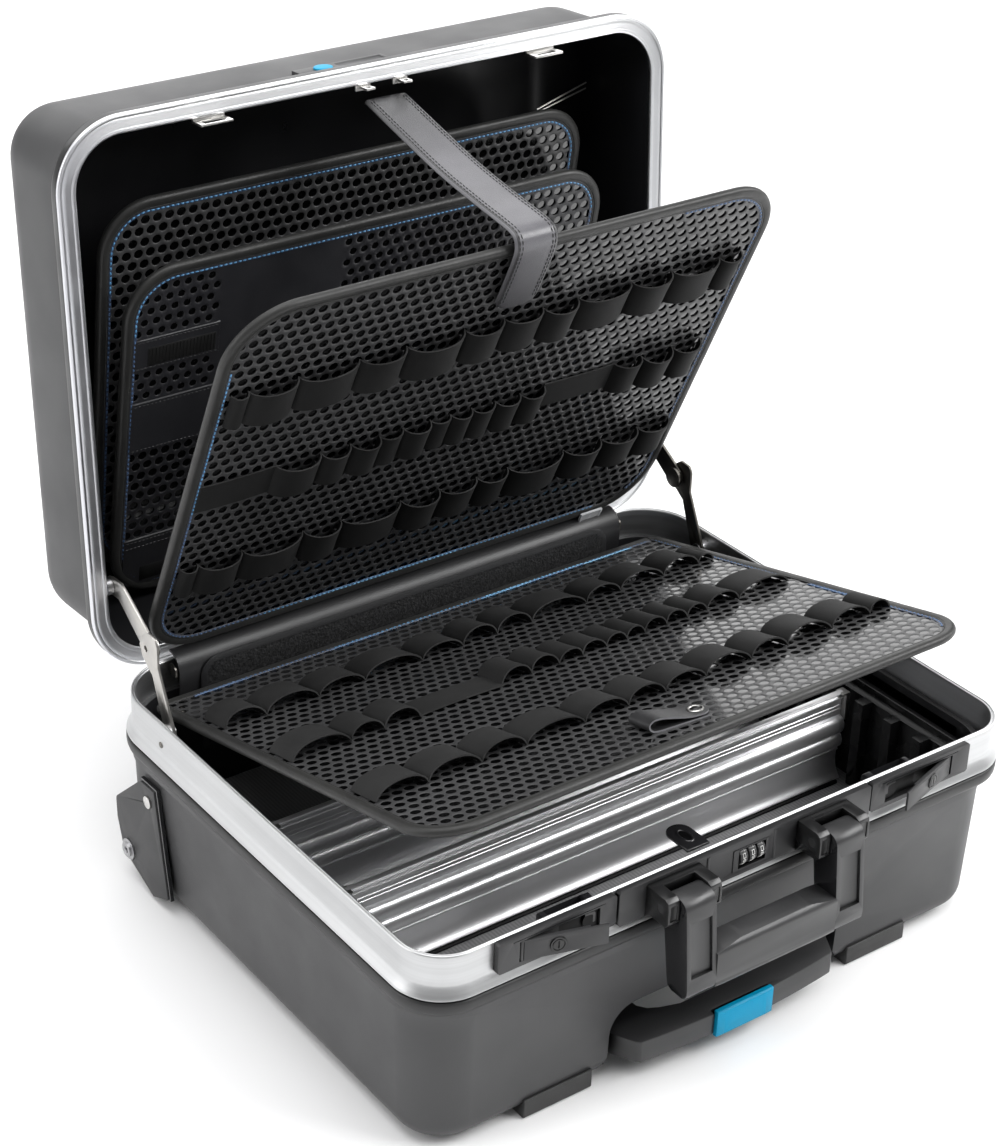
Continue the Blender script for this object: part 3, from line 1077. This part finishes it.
DIV += [(-60.1, -84.1), (-60.1, -84.9), (-60.7, -85.2), (-61.4, -85.7), (-61.6, -86.4), (-61.3, -87.1), (-60.6, -87.6), (-60.1, -88.2), (-60.0, -91.5), (-60.1, -94.0), (-60.35, -96.5),
        (-60.8, -98.9), (-61.4, -101.1), (-62.2, -103.1), (-63.2, -104.9), (-64.4, -106.5), (-65.6, -107.8), (-66.1, -108.6), (-65.9, -109.4), (-64.6, -110.2), (-63.0, -110.8), (-61.4, -111.2), (-60.4, -111.6),
        (-57.6, -111.6), (-57.6, -109.6), (-58.6, -109.0), (-58.6, -84.0), (-57.6, -83.6)]
for tag, dy in (("front", 0.0), ("rear", 86.4)):
    b = Build()
    prof = np.array(DIV)
    xs = np.linspace(-214.6, 214.6, 13)
    verts = np.concatenate([np.stack([np.full(len(prof), x), prof[:, 0] + dy, prof[:, 1]], 1) for x in xs])
    k = len(prof)
    b.add(verts, grid_faces(len(xs), k, close_m=True) + [tuple(range(k))[::-1], tuple((len(xs) - 1) * k + i for i in range(k))], 0)
    o = b.out(tag + "_divider_extrusion", [M["alu_x"]], "base", sharp=38)
    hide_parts("divider_" + tag)


# ------------------------------------------------------------------ lid frame extrusion
def ring_path(w, d, r, n=22, step=14):
    p, nn = outline(w, -d / 2, d / 2, r, step=step, corner=n)
    return p, nn


def swept_ring(b, prof, split, tr, m0=0, m1=1, r=43.6, gap=None):
    p, nn = ring_path(490, 386.7, r)
    if gap:
        front = [i for i in range(len(p)) if p[i, 1] < -193.3 and abs(p[i, 0]) < 150]
        for g in gap[:2]:
            i = min(front, key=lambda i: abs(p[i, 0] - g))
            p[i, 0] = g
    k = len(prof)
    verts = []
    for q, n in zip(p, nn):
        for o, z in prof:
            verts.append((q[0] + n[0] * o, q[1] + n[1] * o, z))
    f = grid_faces(len(p), k, close_n=True, close_m=True)
    mi = [m1 if i % k >= split else m0 for i in range(len(f))]
    if gap:
        keep = []
        for i, q in enumerate(f):
            c = np.mean([verts[j] for j in q], axis=0)
            z = [verts[j][2] for j in q]
            keep.append(not (c[1] < -185 and gap[0] < c[0] < gap[1] and -22.1 < min(z) < gap[2] and max(z) <= gap[3]))
        f, mi = [q for q, g in zip(f, keep) if g], [q for q, g in zip(mi, keep) if g]
    b.add(tr(verts), f, m0)
    b.m[-len(f):] = mi


LIDP = [(-7.6, 3.4), (-8.0, 2.2), (-8.05, 1.2), (-7.9, 0.6), (-7.5, 0.26), (-6.9, 0.14), (-6.2, 0.14), (-5.6, 0.18), (-5.1, 0.28), (-4.8, 0.40), (-4.5, 0.44), (-4.2, 0.45), (-1.0, 0.45), (1.5, 0.45), (1.8, 0.62), (2.2, 0.62), (2.5, 0.34),
        (2.9, 0.18), (3.6, 0.13), (4.2, 0.22), (4.75, 0.55), (5.15, 1.1), (5.3, 1.8), (5.25, 2.6), (4.9, 2.9),
        (4.9, 3.2), (5.2, 3.5), (5.25, 8.4), (4.9, 9.6), (3.6, 10.8), (-2.4, 12.8), (-3.4, 12.8), (-3.4, 11.0), (2.2, 9.4), (2.2, 4.0)]
b = Build()
swept_ring(b, LIDP, 24, lambda v: lid(v))
o = b.out("lid_frame_extrusion", [M["alu_y"], M["collar"]], "lid", sharp=40)
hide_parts("lid_frame")

# the base frame: a twin-beaded lip, a plain wall and a flared foot, over the moulding's own rolled collar
BASEP = [(-2.9, -24.5), (-3.4, -24.0), (-3.5, -5.0), (-3.55, -1.5), (-3.35, -0.55), (-2.85, -0.1), (-2.35, -0.05), (-1.95, -0.25), (-1.75, -0.65), (-1.6, -0.65), (-1.4, -0.25), (-1.0, -0.03), (-0.5, -0.15), (-0.12, -0.65), (0.0, -1.5),
         (0.0, -8.0), (0.0, -15.0), (0.0, -21.6), (0.25, -22.5), (0.8, -23.8), (1.8, -25.8), (3.0, -28.0), (3.85, -29.4), (4.0, -30.0), (3.7, -30.55), (2.6, -30.6), (1.0, -28.0), (-0.8, -24.6)]
b = Build()
swept_ring(b, BASEP, 99, lambda v: np.array(v), r=(31.5, 43.6), gap=(-9.5, 15.5, -3.0, -1.4))
o = b.out("base_frame_extrusion", [M["alu_z"]], "base", sharp=40)
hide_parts("base_frame")
COLLARP = [(-7.0, -29.0), (1.2, -31.0), (1.9, -31.9), (2.9, -32.1), (3.8, -32.7), (4.25, -34.0), (4.3, -36.4), (4.0, -39.0), (3.3, -41.0), (2.4, -42.2), (1.2, -42.8), (-7.0, -43.1)]
b = Build()
swept_ring(b, COLLARP, 99, lambda v: np.array(v), r=(31.5, 43.6))
b.out("base_shell_collar", [M["rolled"]], "base", sharp=38)


# ------------------------------------------------------------------ strip over the hinge
def mat_strip():
    k = Mat("hinge_strip_vinyl")
    k.set(Metallic=0.0, Specular_IOR_Level=0.45, Coat_Weight=0.06, Coat_Roughness=0.4)
    fine = k.noise(1500, detail=2.0)
    slow = k.noise(1.0, k.mapped((9, 40, 40)), detail=3.0)
    k.link(k.ramp(slow, 0.3, 0.7, (0.012, 0.012, 0.013), (0.021, 0.021, 0.022)), "Base Color")
    k.link(k.span(slow, 0.38, 0.48, 0.3, 0.7), "Roughness")
    k.link(k.bump(fine, 0.3, 0.00005, under=k.bump(slow, 0.35, 0.0012)), "Normal")
    return k.m


def mat_fuzzy():
    k = Mat("pocket_fleece")
    k.set(Metallic=0.0, Specular_IOR_Level=0.35, Sheen_Weight=0.25, Sheen_Roughness=0.35)
    v = k.voronoi(520)
    f = k.noise(340, detail=5.0, rough=0.7)
    k.link(k.mix(k.ramp(f, 0.42, 0.68, 0.0, 1.0), (0.004, 0.004, 0.0042), (0.020, 0.020, 0.021)), "Base Color")
    k.link(k.span(f, 0.45, 0.7, 0.3, 0.7), "Roughness")
    k.link(k.bump(k.math("ADD", f, v), 0.6, 0.0006), "Normal")
    return k.m


def mat_clear():
    k = Mat("clear_clip_plastic")
    k.set(Metallic=0.0, Specular_IOR_Level=0.6, Transmission_Weight=0.25)
    n = k.noise(60, detail=3.0)
    k.link(k.ramp(n, 0.3, 0.7, (0.62, 0.63, 0.65), (0.74, 0.75, 0.77)), "Base Color")
    k.link(k.span(n, 0.2, 0.34, 0.3, 0.7), "Roughness")
    k.link(k.bump(n, 0.2, 0.0002), "Normal")
    return k.m


M["strip"], M["fuzzy"], M["clear"] = mat_strip(), mat_fuzzy(), mat_clear()
M["digit"] = plastic("dial_number_paint", (0.62, 0.62, 0.60), 0.5, grain=2200, depth=0.00002, var=0.06)
M["border"] = mat_sheet("pocket_border", (0.016, 0.016, 0.017), 0.42)

b = Build()
outer = smooth_path([(0, y, z) for y, z in ((191.6, 7.5), (188.6, 7.3), (185.6, 6.5), (182.7, 4.9), (180.3, 2.5), (178.5, -0.7), (177.4, -4.5), (176.9, -9.0), (176.85, -14.0), (177.2, -19.0), (177.7, -24.0))], 5)[:, 1:]
tt = np.gradient(outer, axis=0)
tt /= np.linalg.norm(tt, axis=1)[:, None]
inner = outer + np.stack([-tt[:, 1], tt[:, 0]], 1) * 1.7
if inner[0, 1] > outer[0, 1]:
    inner = outer - np.stack([-tt[:, 1], tt[:, 0]], 1) * 1.7
loop = np.vstack([outer, inner[::-1]])
xs = np.linspace(-197, 197, 60)
ph = RNG.uniform(0, 6.28, 4)
verts = []
for x in xs:
    w = 0.16 * (math.sin(x * 0.043 + ph[0]) + 0.6 * math.sin(x * 0.11 + ph[1]) + 0.4 * math.sin(x * 0.23 + ph[2]))
    for i, (y, z) in enumerate(loop):
        t = i if i < len(outer) else len(loop) - 1 - i
        k = math.sin(math.pi * t / (len(outer) - 1))
        verts.append((x, y + 0.35 * w * k, z - 0.3 * abs(w) * k))
k = len(loop)
b.add(verts, grid_faces(len(xs), k, close_m=True) + [tuple(range(k))[::-1], tuple((len(xs) - 1) * k + i for i in range(k))], 0)
HINGE_STRIP = b.out("hinge_cover_skin", [M["strip"]], "base", sharp=45)
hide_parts("hinge_cover_strip")


# ------------------------------------------------------------------ document pocket
def pocket():
    b = Build()
    x0, x1, z0, z1, r = -181.0, 183.0, -71.5, 1.5, 15.0
    nx, nz = 150, 34
    xs, zs = np.linspace(x0, x1, nx), np.linspace(z0, z1, nz)
    X, Z = np.meshgrid(xs, zs, indexing="ij")
    X, Z = pull_in(X, Z - (z0 + z1) / 2, x1 - x0, -(z1 - z0) / 2, (z1 - z0) / 2, r, 0.0) if False else (X, Z)
    hw, hh, cx, cz = (x1 - x0) / 2, (z1 - z0) / 2, (x0 + x1) / 2, (z0 + z1) / 2
    ax, az = np.abs(X - cx), Z - cz
    k = (ax > hw - r) & (az > hh - r) & (np.hypot(ax - hw + r, az - hh + r) > r)
    d = np.maximum(np.hypot(ax - hw + r, az - hh + r), 1e-9)
    nx_ = np.where(k, hw - r + (ax - hw + r) * r / d, ax)
    nz_ = np.where(k, hh - r + (az - hh + r) * r / d, az)
    X, Z = cx + np.sign(X - cx) * nx_, cz + nz_
    qx, qz = hw - np.abs(X - cx), hh - (Z - cz)
    edge = np.minimum(qx, qz)
    cor = (qx < r) & (qz < r)
    edge = np.where(cor, r - np.hypot(np.maximum(r - qx, 0), np.maximum(r - qz, 0)), edge)
    rough = RNG.normal(0, 0.10, X.shape)
    swell = 0.9 * np.clip((edge - 4.5) / 9.0, 0, 1) ** 0.5
    lip = 1.0 * np.clip(edge / 1.2, 0, 1) * np.where(edge < 4.2, 1.0, 0.55)
    Y = 175.6 - lip - swell - np.where(edge > 5.0, rough, 0.0)
    Y = np.maximum(Y, 173.65)
    v = np.stack([X.ravel(), Y.ravel(), Z.ravel()], 1)
    f = grid_faces(nx, nz)
    e = edge.ravel()
    mi = [1 if max(e[i] for i in q) < 5.2 else 0 for q in f]
    b.add(v, f, 0)
    b.m[-len(f):] = mi
    back = np.stack([X.ravel(), np.full(X.size, 176.0), Z.ravel()], 1)
    rim = [i * nz for i in range(nx)] + [(nx - 1) * nz + j for j in range(1, nz)] + [i * nz + nz - 1 for i in range(nx - 2, -1, -1)] + [j for j in range(nz - 2, 0, -1)]
    sk = np.concatenate([v[rim], back[rim]])
    n = len(rim)
    b.add(sk, [(i, (i + 1) % n, n + (i + 1) % n, n + i) for i in range(n)] + [tuple(n + i for i in range(n))], 1)
    for row_z in (-2.8,):
        pts = [(x, 174.35, row_z) for x in np.linspace(x0 + 12, x1 - 12, 90)]
    o = b.out("document_pocket_pad", [M["fuzzy"], M["border"]], "base", sharp=60)
    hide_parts("document_pocket")
    return o


POCKET = pocket()


# ------------------------------------------------------------------ tongue in the middle of the front
def rounded_plate(x0, x1, y0, y1, r, n=8, corners=(1, 1, 1, 1)):
    pts = []
    cs = [(x1 - r, y0 + r, -90, corners[0]), (x1 - r, y1 - r, 0, corners[1]), (x0 + r, y1 - r, 90, corners[2]), (x0 + r, y0 + r, 180, corners[3])]
    for cx, cy, a0, on in cs:
        if on:
            for k in range(n + 1):
                t = math.radians(a0 + 90 * k / n)
                pts.append((cx + r * math.cos(t), cy + r * math.sin(t)))
        else:
            t = math.radians(a0 + 45)
            pts.append((cx + r * (1 if math.cos(t) > 0 else -1), cy + r * (1 if math.sin(t) > 0 else -1)))
    return np.array(pts)


def plate(b, pts, levels, m=0):
    """levels: (inset towards the middle as a share, height) rings from the underside up."""
    c = pts.mean(0)
    k = len(pts)
    verts = []
    for ins, z in levels:
        d = pts - c
        L = np.linalg.norm(d, axis=1)[:, None]
        q = pts - d / L * ins
        verts.append(np.column_stack([q, np.full(k, z)]))
    v = np.concatenate(verts)
    b.add(v, grid_faces(len(levels), k, close_m=True) + [tuple(range(k))[::-1], tuple((len(levels) - 1) * k + i for i in range(k))], m)


b = Build()
plate(b, rounded_plate(-40, -22, -185, -158, 8.6, corners=(0, 1, 1, 0)), [(0.4, -3.7), (0, -3.4), (0, -2.2), (0.25, -1.85), (0.7, -1.7)])
ring = []
for k in range(28):
    t = 2 * math.pi * k / 28
    ring.append((math.cos(t), math.sin(t)))
ring = np.array(ring)
rv = []
for sx, sy, z in ((2.6, 5.6, -1.8), (3.2, 6.2, -1.2), (3.9, 6.9, -1.1), (4.6, 7.6, -1.6), (4.7, 7.7, -1.9)):
    rv.append(np.column_stack([-31 + ring[:, 0] * sx, -171.5 + ring[:, 1] * sy, np.full(28, z)]))
b.add(np.concatenate(rv), grid_faces(5, 28, close_m=True), 0)
b.add(np.column_stack([-31 + ring[:, 0] * 2.8, -171.5 + ring[:, 1] * 5.8, np.full(28, -1.55)]), [tuple(range(28))], 1)
TONGUE = b.out("lock_tongue_tab", [M["gloss"], M["wall"]], "base", sharp=50)
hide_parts("lock_tongue")


# ------------------------------------------------------------------ snap tab on the base board
def snap_tab():
    b = Build()
    path = [(5.5, 2.5), (-4, 2.5), (-14, 2.6), (-24, 2.7), (-32, 2.8), (-37.0, 3.5), (-39.6, 5.8), (-39.2, 8.6), (-36.0, 10.3), (-31.0, 10.2), (-24, 8.7), (-16, 6.6), (-9, 5.0), (-3, 4.4), (3.0, 4.25), (9.5, 4.2)]
    p = smooth_path([(x, 0, h) for x, h in path], 5)
    t = np.gradient(p, axis=0)
    t /= np.linalg.norm(t, axis=1)[:, None]
    n = np.stack([t[:, 2], np.zeros(len(t)), -t[:, 0]], 1)
    s = np.r_[0, np.cumsum(np.linalg.norm(np.diff(p, axis=0), axis=1))]
    L, half, nx = s[-1], 10.5, 10
    top, low = [], []
    for i in range(len(p)):
        for j in range(nx + 1):
            u = -1 + 2 * j / nx
            w = half
            e = L - s[i]
            if e < 10:
                w = half * math.sqrt(max(0.02, 1 - ((10 - e) / 10.4) ** 2))
            vv = 313.0 + u * w + 0.10 * (p[i, 0] + 15)
            rim = 0.35 * max(0.0, abs(u) - 0.86) / 0.14
            top.append((p[i, 0] + n[i, 0] * (0.75 - rim), vv, p[i, 2] + n[i, 2] * (0.75 - rim)))
            low.append((p[i, 0] - n[i, 0] * 0.75, vv, p[i, 2] - n[i, 2] * 0.75))
    top, low = np.array(top), np.array(low)
    b.add(TRAY(top[:, 0], top[:, 1], top[:, 2]), grid_faces(len(p), nx + 1), 0)
    b.add(TRAY(low[:, 0], low[:, 1], low[:, 2]), grid_faces(len(p), nx + 1), 0)
    for j in (0, nx):
        q = np.stack([top[j::nx + 1], low[j::nx + 1]], 1).reshape(-1, 3)
        b.add(TRAY(q[:, 0], q[:, 1], q[:, 2]), grid_faces(len(p), 2), 1)
    for i in (0, len(p) - 1):
        q = np.stack([top[i * (nx + 1):(i + 1) * (nx + 1)], low[i * (nx + 1):(i + 1) * (nx + 1)]], 1).reshape(-1, 3)
        b.add(TRAY(q[:, 0], q[:, 1], q[:, 2]), grid_faces(nx + 1, 2), 1)
    v, f = disc_stack([(5.6, 4.9), (5.7, 5.5), (5.2, 5.95), (4.6, 6.0), (4.1, 5.6), (3.9, 5.0)], 26)
    b.add(TRAY(v[:, 0] + 1.8, v[:, 1] + 315.5, v[:, 2]), f, 2)
    v, f = disc_stack([(4.0, 4.9), (3.7, 5.5), (3.0, 6.2), (2.0, 6.6), (0.6, 6.75)], 24)
    b.add(TRAY(v[:, 0] + 1.8, v[:, 1] + 315.5, v[:, 2]), f, 3)
    o = b.out("base_board_snap_tab", [M["leather_tab"], M["leather_edge"], M["steel"], M["gunmetal"]], "base_board", sharp=45)
    return o


SNAP_TAB = snap_tab()


# ------------------------------------------------------------------ clear clip under the front board
b = Build()
pts = []
for k in range(29):
    t = math.pi * k / 28
    pts.append((172.0 + 10.2 * math.cos(t), 1.0 - 11.6 * math.sin(t) ** 0.9))
pts = [(182.2, 6.0)] + pts + [(161.8, 6.0)]
pts = np.array(pts)
c = np.array([172.0, 0.0])
lv = []
for ins, h in ((0.0, -0.9), (0.0, 0.9), (0.9, 1.15), (1.9, 0.9), (2.3, 0.45)):
    d = pts - c
    q = pts - d / np.linalg.norm(d, axis=1)[:, None] * ins
    lv.append(np.column_stack([q, np.full(len(pts), h + 4.6)]))
v = np.concatenate(lv)
kk = len(pts)
b.add(FRONT(v[:, 0], v[:, 1], v[:, 2]), grid_faces(len(lv), kk, close_m=True) + [tuple(range(kk))[::-1], tuple((len(lv) - 1) * kk + i for i in range(kk))], 0)
CLIP = b.out("clear_board_clip", [M["clear"]], "front_board", sharp=40)


# ------------------------------------------------------------------ small metal parts
def head(origin, n, r, h, m, cross=False, name_hint=(0, 0, 1)):
    v, f = disc_stack([(r, 0.0), (r, h * 0.35), (r * 0.86, h * 0.8), (r * 0.55, h), (r * 0.1, h)], 20)
    a, c, nn = frame_of(n, name_hint)
    return place(v, origin, a, c, nn), f


b = Build()
for y in (120.1,):
    for s in (-1, 1):
        v, f = head((s * 244.9, y, -15.8), (s, 0, 0), 2.3, 0.9, 0)
        b.add(v, f, 0)
for x in (-150, 0, 150):
    v, f = head((x, 193.2, -15.8), (0, 1, 0), 2.3, 0.9, 0)
    b.add(v, f, 0)
# end plate beside the strip over the hinge
for s in (-1, 1):
    v = np.array([(s * 198.2, y, z) for y, z in ((178.6, -9.0), (178.8, -3.0), (180.2, -1.4), (182.6, -0.7), (186.4, -0.7), (186.4, -9.0))])
    w = v + np.array([s * 1.4, 0, 0])
    b.add(np.vstack([v, w]), [tuple(range(6))[::-1], tuple(range(6, 12))] + [(i, (i + 1) % 6, 6 + (i + 1) % 6, 6 + i) for i in range(6)], 0)
base_bits = b.out("base_frame_rivets", [M["stay_dark"]], "base", sharp=40)

b = Build()
for (x, y, nn) in ((-244, -60, (-1, 0, 0)), (-244, 90, (-1, 0, 0)), (244, -60, (1, 0, 0)), (244, 90, (1, 0, 0))):
    q = lid([[x * 0.9835, y, 5.2]])[0]
    v, f = disc_stack([(1.9, 0.0), (1.9, 0.25), (1.5, 0.5), (0.2, 0.55)], 18)
    a, c, nv = frame_of((lid([[nn[0], 0, 0]]) - lid([[0, 0, 0]]))[0])
for s in (-1, 1):
    for (x, y) in ((s * 240.6, -60), (s * 240.6, 70)):
        o0 = lid([[x, y, 0.14]])[0]
        dn = (lid([[0, 0, -1]]) - lid([[0, 0, 0]]))[0]
        v, f = disc_stack([(2.2, -0.2), (2.2, 0.25), (1.8, 0.45), (0.9, 0.45), (0.7, 0.15), (0.1, 0.15)], 18)
        a, c, nv = frame_of(dn)
wires = [((184.8, -116.2, 70), (231.5, -129.0, 70)), ((186.6, -114.0, 70.5), (231.5, -124.4, 70.5))]
for p0, p1 in wires:
    P = lid([p0, tuple((np.array(p0) + np.array(p1)) / 2), p1])
    v, f = tube(smooth_path(P, 6), 0.75, 8)
    b.add(v, f, 0)
lid_bits = b.out("lid_screws_and_rods", [M["steel"]], "lid", sharp=40)


# ------------------------------------------------------------------ numbers on the dials
SEGS = {"a": ((0, 1), (1, 1)), "b": ((1, 1), (1, 0.5)), "c": ((1, 0.5), (1, 0)), "d": ((0, 0), (1, 0)), "e": ((0, 0.5), (0, 0)), "f": ((0, 1), (0, 0.5)), "g": ((0, 0.5), (1, 0.5))}
DIG = ["abcdef", "bc", "abged", "abgcd", "fgbc", "afgcd", "afgecd", "abc", "abcdefg", "abcdfg"]
for di, x in enumerate((-4.5, 2.9, 10.3), 1):
    b = Build()
    lo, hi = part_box("dial_%d" % di)
    cy, cz = (lo.y + hi.y) / 2 * 1000 + Y_MID, (lo.z + hi.z) / 2 * 1000 - LIP
    R = (hi.z - lo.z) / 2 * 1000 - 0.02
    cx = (lo.x + hi.x) / 2 * 1000
    for d in range(10):
        a0 = 2 * math.pi * d / 10 + 0.32
        for sname in DIG[d]:
            (ux, uy), (wx, wy) = SEGS[sname]
            p = []
            for t in np.linspace(0, 1, 4):
                px, py = (ux + (wx - ux) * t - 0.5) * 1.9, (uy + (wy - uy) * t - 0.5) * 3.0
                a = a0 + py / R
                p.append((cx + px, cy - R * math.cos(a), cz + R * math.sin(a)))
            v, f = tube(p, 0.24, 5, up=(0, 0, 1))
            b.add(v, f, 0)
    b.out("dial_%d_numbers" % di, [M["digit"]], "dial_%d" % di, sharp=60)


# ------------------------------------------------------------------ round blue button in the name plate
b = Build()
ring_n = 30
prof = [(6.9, -191.5), (6.95, -192.3), (6.7, -192.65), (6.1, -192.85), (4.5, -192.95), (2.2, -193.0), (0.3, -193.0)]
vv = [(-27.0 + q * math.cos(2 * math.pi * i / ring_n), y, 33.0 + 0.93 * q * math.sin(2 * math.pi * i / ring_n)) for q, y in prof for i in range(ring_n)]
ff = [(j * ring_n + i, j * ring_n + (i + 1) % ring_n, (j + 1) * ring_n + (i + 1) % ring_n, (j + 1) * ring_n + i) for j in range(len(prof) - 1) for i in range(ring_n)]
ff.append(tuple((len(prof) - 1) * ring_n + i for i in range(ring_n)))
b.add(lid(vv), ff, 0)
o = b.out("name_plate_button", [M["blue"]], "lid", sharp=35)
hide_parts("name_plate_tab")


# ------------------------------------------------------------------ dark openings behind the lock hooks
b = Build()
for s in (-1, 1):
    x0, x1 = (121.6, 149.0) if s > 0 else (-149.0, -121.6)
    rim = [(x0 + 1, -5.0), (x0, -6.0), (x0, -17.4), (x0 + 1, -18.4), (x1 - 1, -18.4), (x1, -17.4), (x1, -6.0), (x1 - 1, -5.0)]
    v = [(x, -194.42, z) for x, z in rim] + [(x + (0.5 if x < (x0 + x1) / 2 else -0.5), -194.5, z + (0.5 if z < -11 else -0.5)) for x, z in rim]
    b.add(v, [(i, (i + 1) % 8, 8 + (i + 1) % 8, 8 + i) for i in range(8)] + [tuple(8 + i for i in range(8))], 0)
b.out("lock_recess_openings", [M["recess"]], "base", sharp=30)


# ------------------------------------------------------------------ bent catch showing in each lock opening, and the seal along the divider's foot
b = Build()
for s in (-1, 1):
    xs = 1 if s > 0 else -1
    edge = [(122.0, -14.6), (122.0, -8.2), (123.2, -6.9), (126.5, -6.5), (130.2, -6.5), (130.2, -7.9), (126.8, -8.0), (124.6, -8.5), (123.9, -9.6), (123.9, -14.6)]
    pts = np.array([(xs * x, z) for x, z in edge])
    ctr = pts.mean(axis=0)
    v = [(x, -195.4, z) for x, z in pts] + [(x, -196.125, z) for x, z in pts] + [(x + (ctr[0] - x) * 0.04, -196.15, z + (ctr[1] - z) * 0.04) for x, z in pts]
    n = len(edge)
    b.add(v, grid_faces(3, n, close_m=True) + [tuple(2 * n + i for i in range(n))], 0)
b.out("lock_catch_edges", [M["satin"]], "base", sharp=35)
lo, hi = [np.array(q) * 1000 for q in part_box("divider_front")]
y0, z0 = lo[1] + 50.4785, lo[2] - 156
b = Build()
v = []
for x in np.linspace(lo[0] + 3, hi[0] - 3, 60):
    v += [(x, y0 + 1.2, z0 - 0.2), (x, y0 + 1.2, z0 + 1.5), (x, y0 - 0.3, z0 + 1.7), (x, y0 - 1.3 - 0.12 * math.sin(x * 0.35), z0 + 1.1), (x, y0 - 1.9 - 0.12 * math.sin(x * 0.35), z0 - 0.2)]
b.add(v, grid_faces(60, 5, close_m=True) + [tuple(range(5))[::-1], tuple(59 * 5 + i for i in range(5))], 0)
b.out("divider_foot_seal", [M["recess"]], "base", sharp=40)


# ------------------------------------------------------------------ soft parts across the joints
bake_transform(STRAP_OBJ)
tuple(FRONT.n)
tuple(row(FRONT(0, 160, 2.0))[0])
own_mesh(FRONT_LOOPS)
tuple(TRAY.n)
tuple(row(TRAY(0, 160, 2.0))[0])
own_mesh(BASE_LOOPS)

tuple(TRAY.n)
tuple(row(TRAY(0, 160, 2.0))[0])
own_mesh(SNAP_TAB)
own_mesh(HINGE_STRIP)
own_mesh(POCKET)
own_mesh(TONGUE)
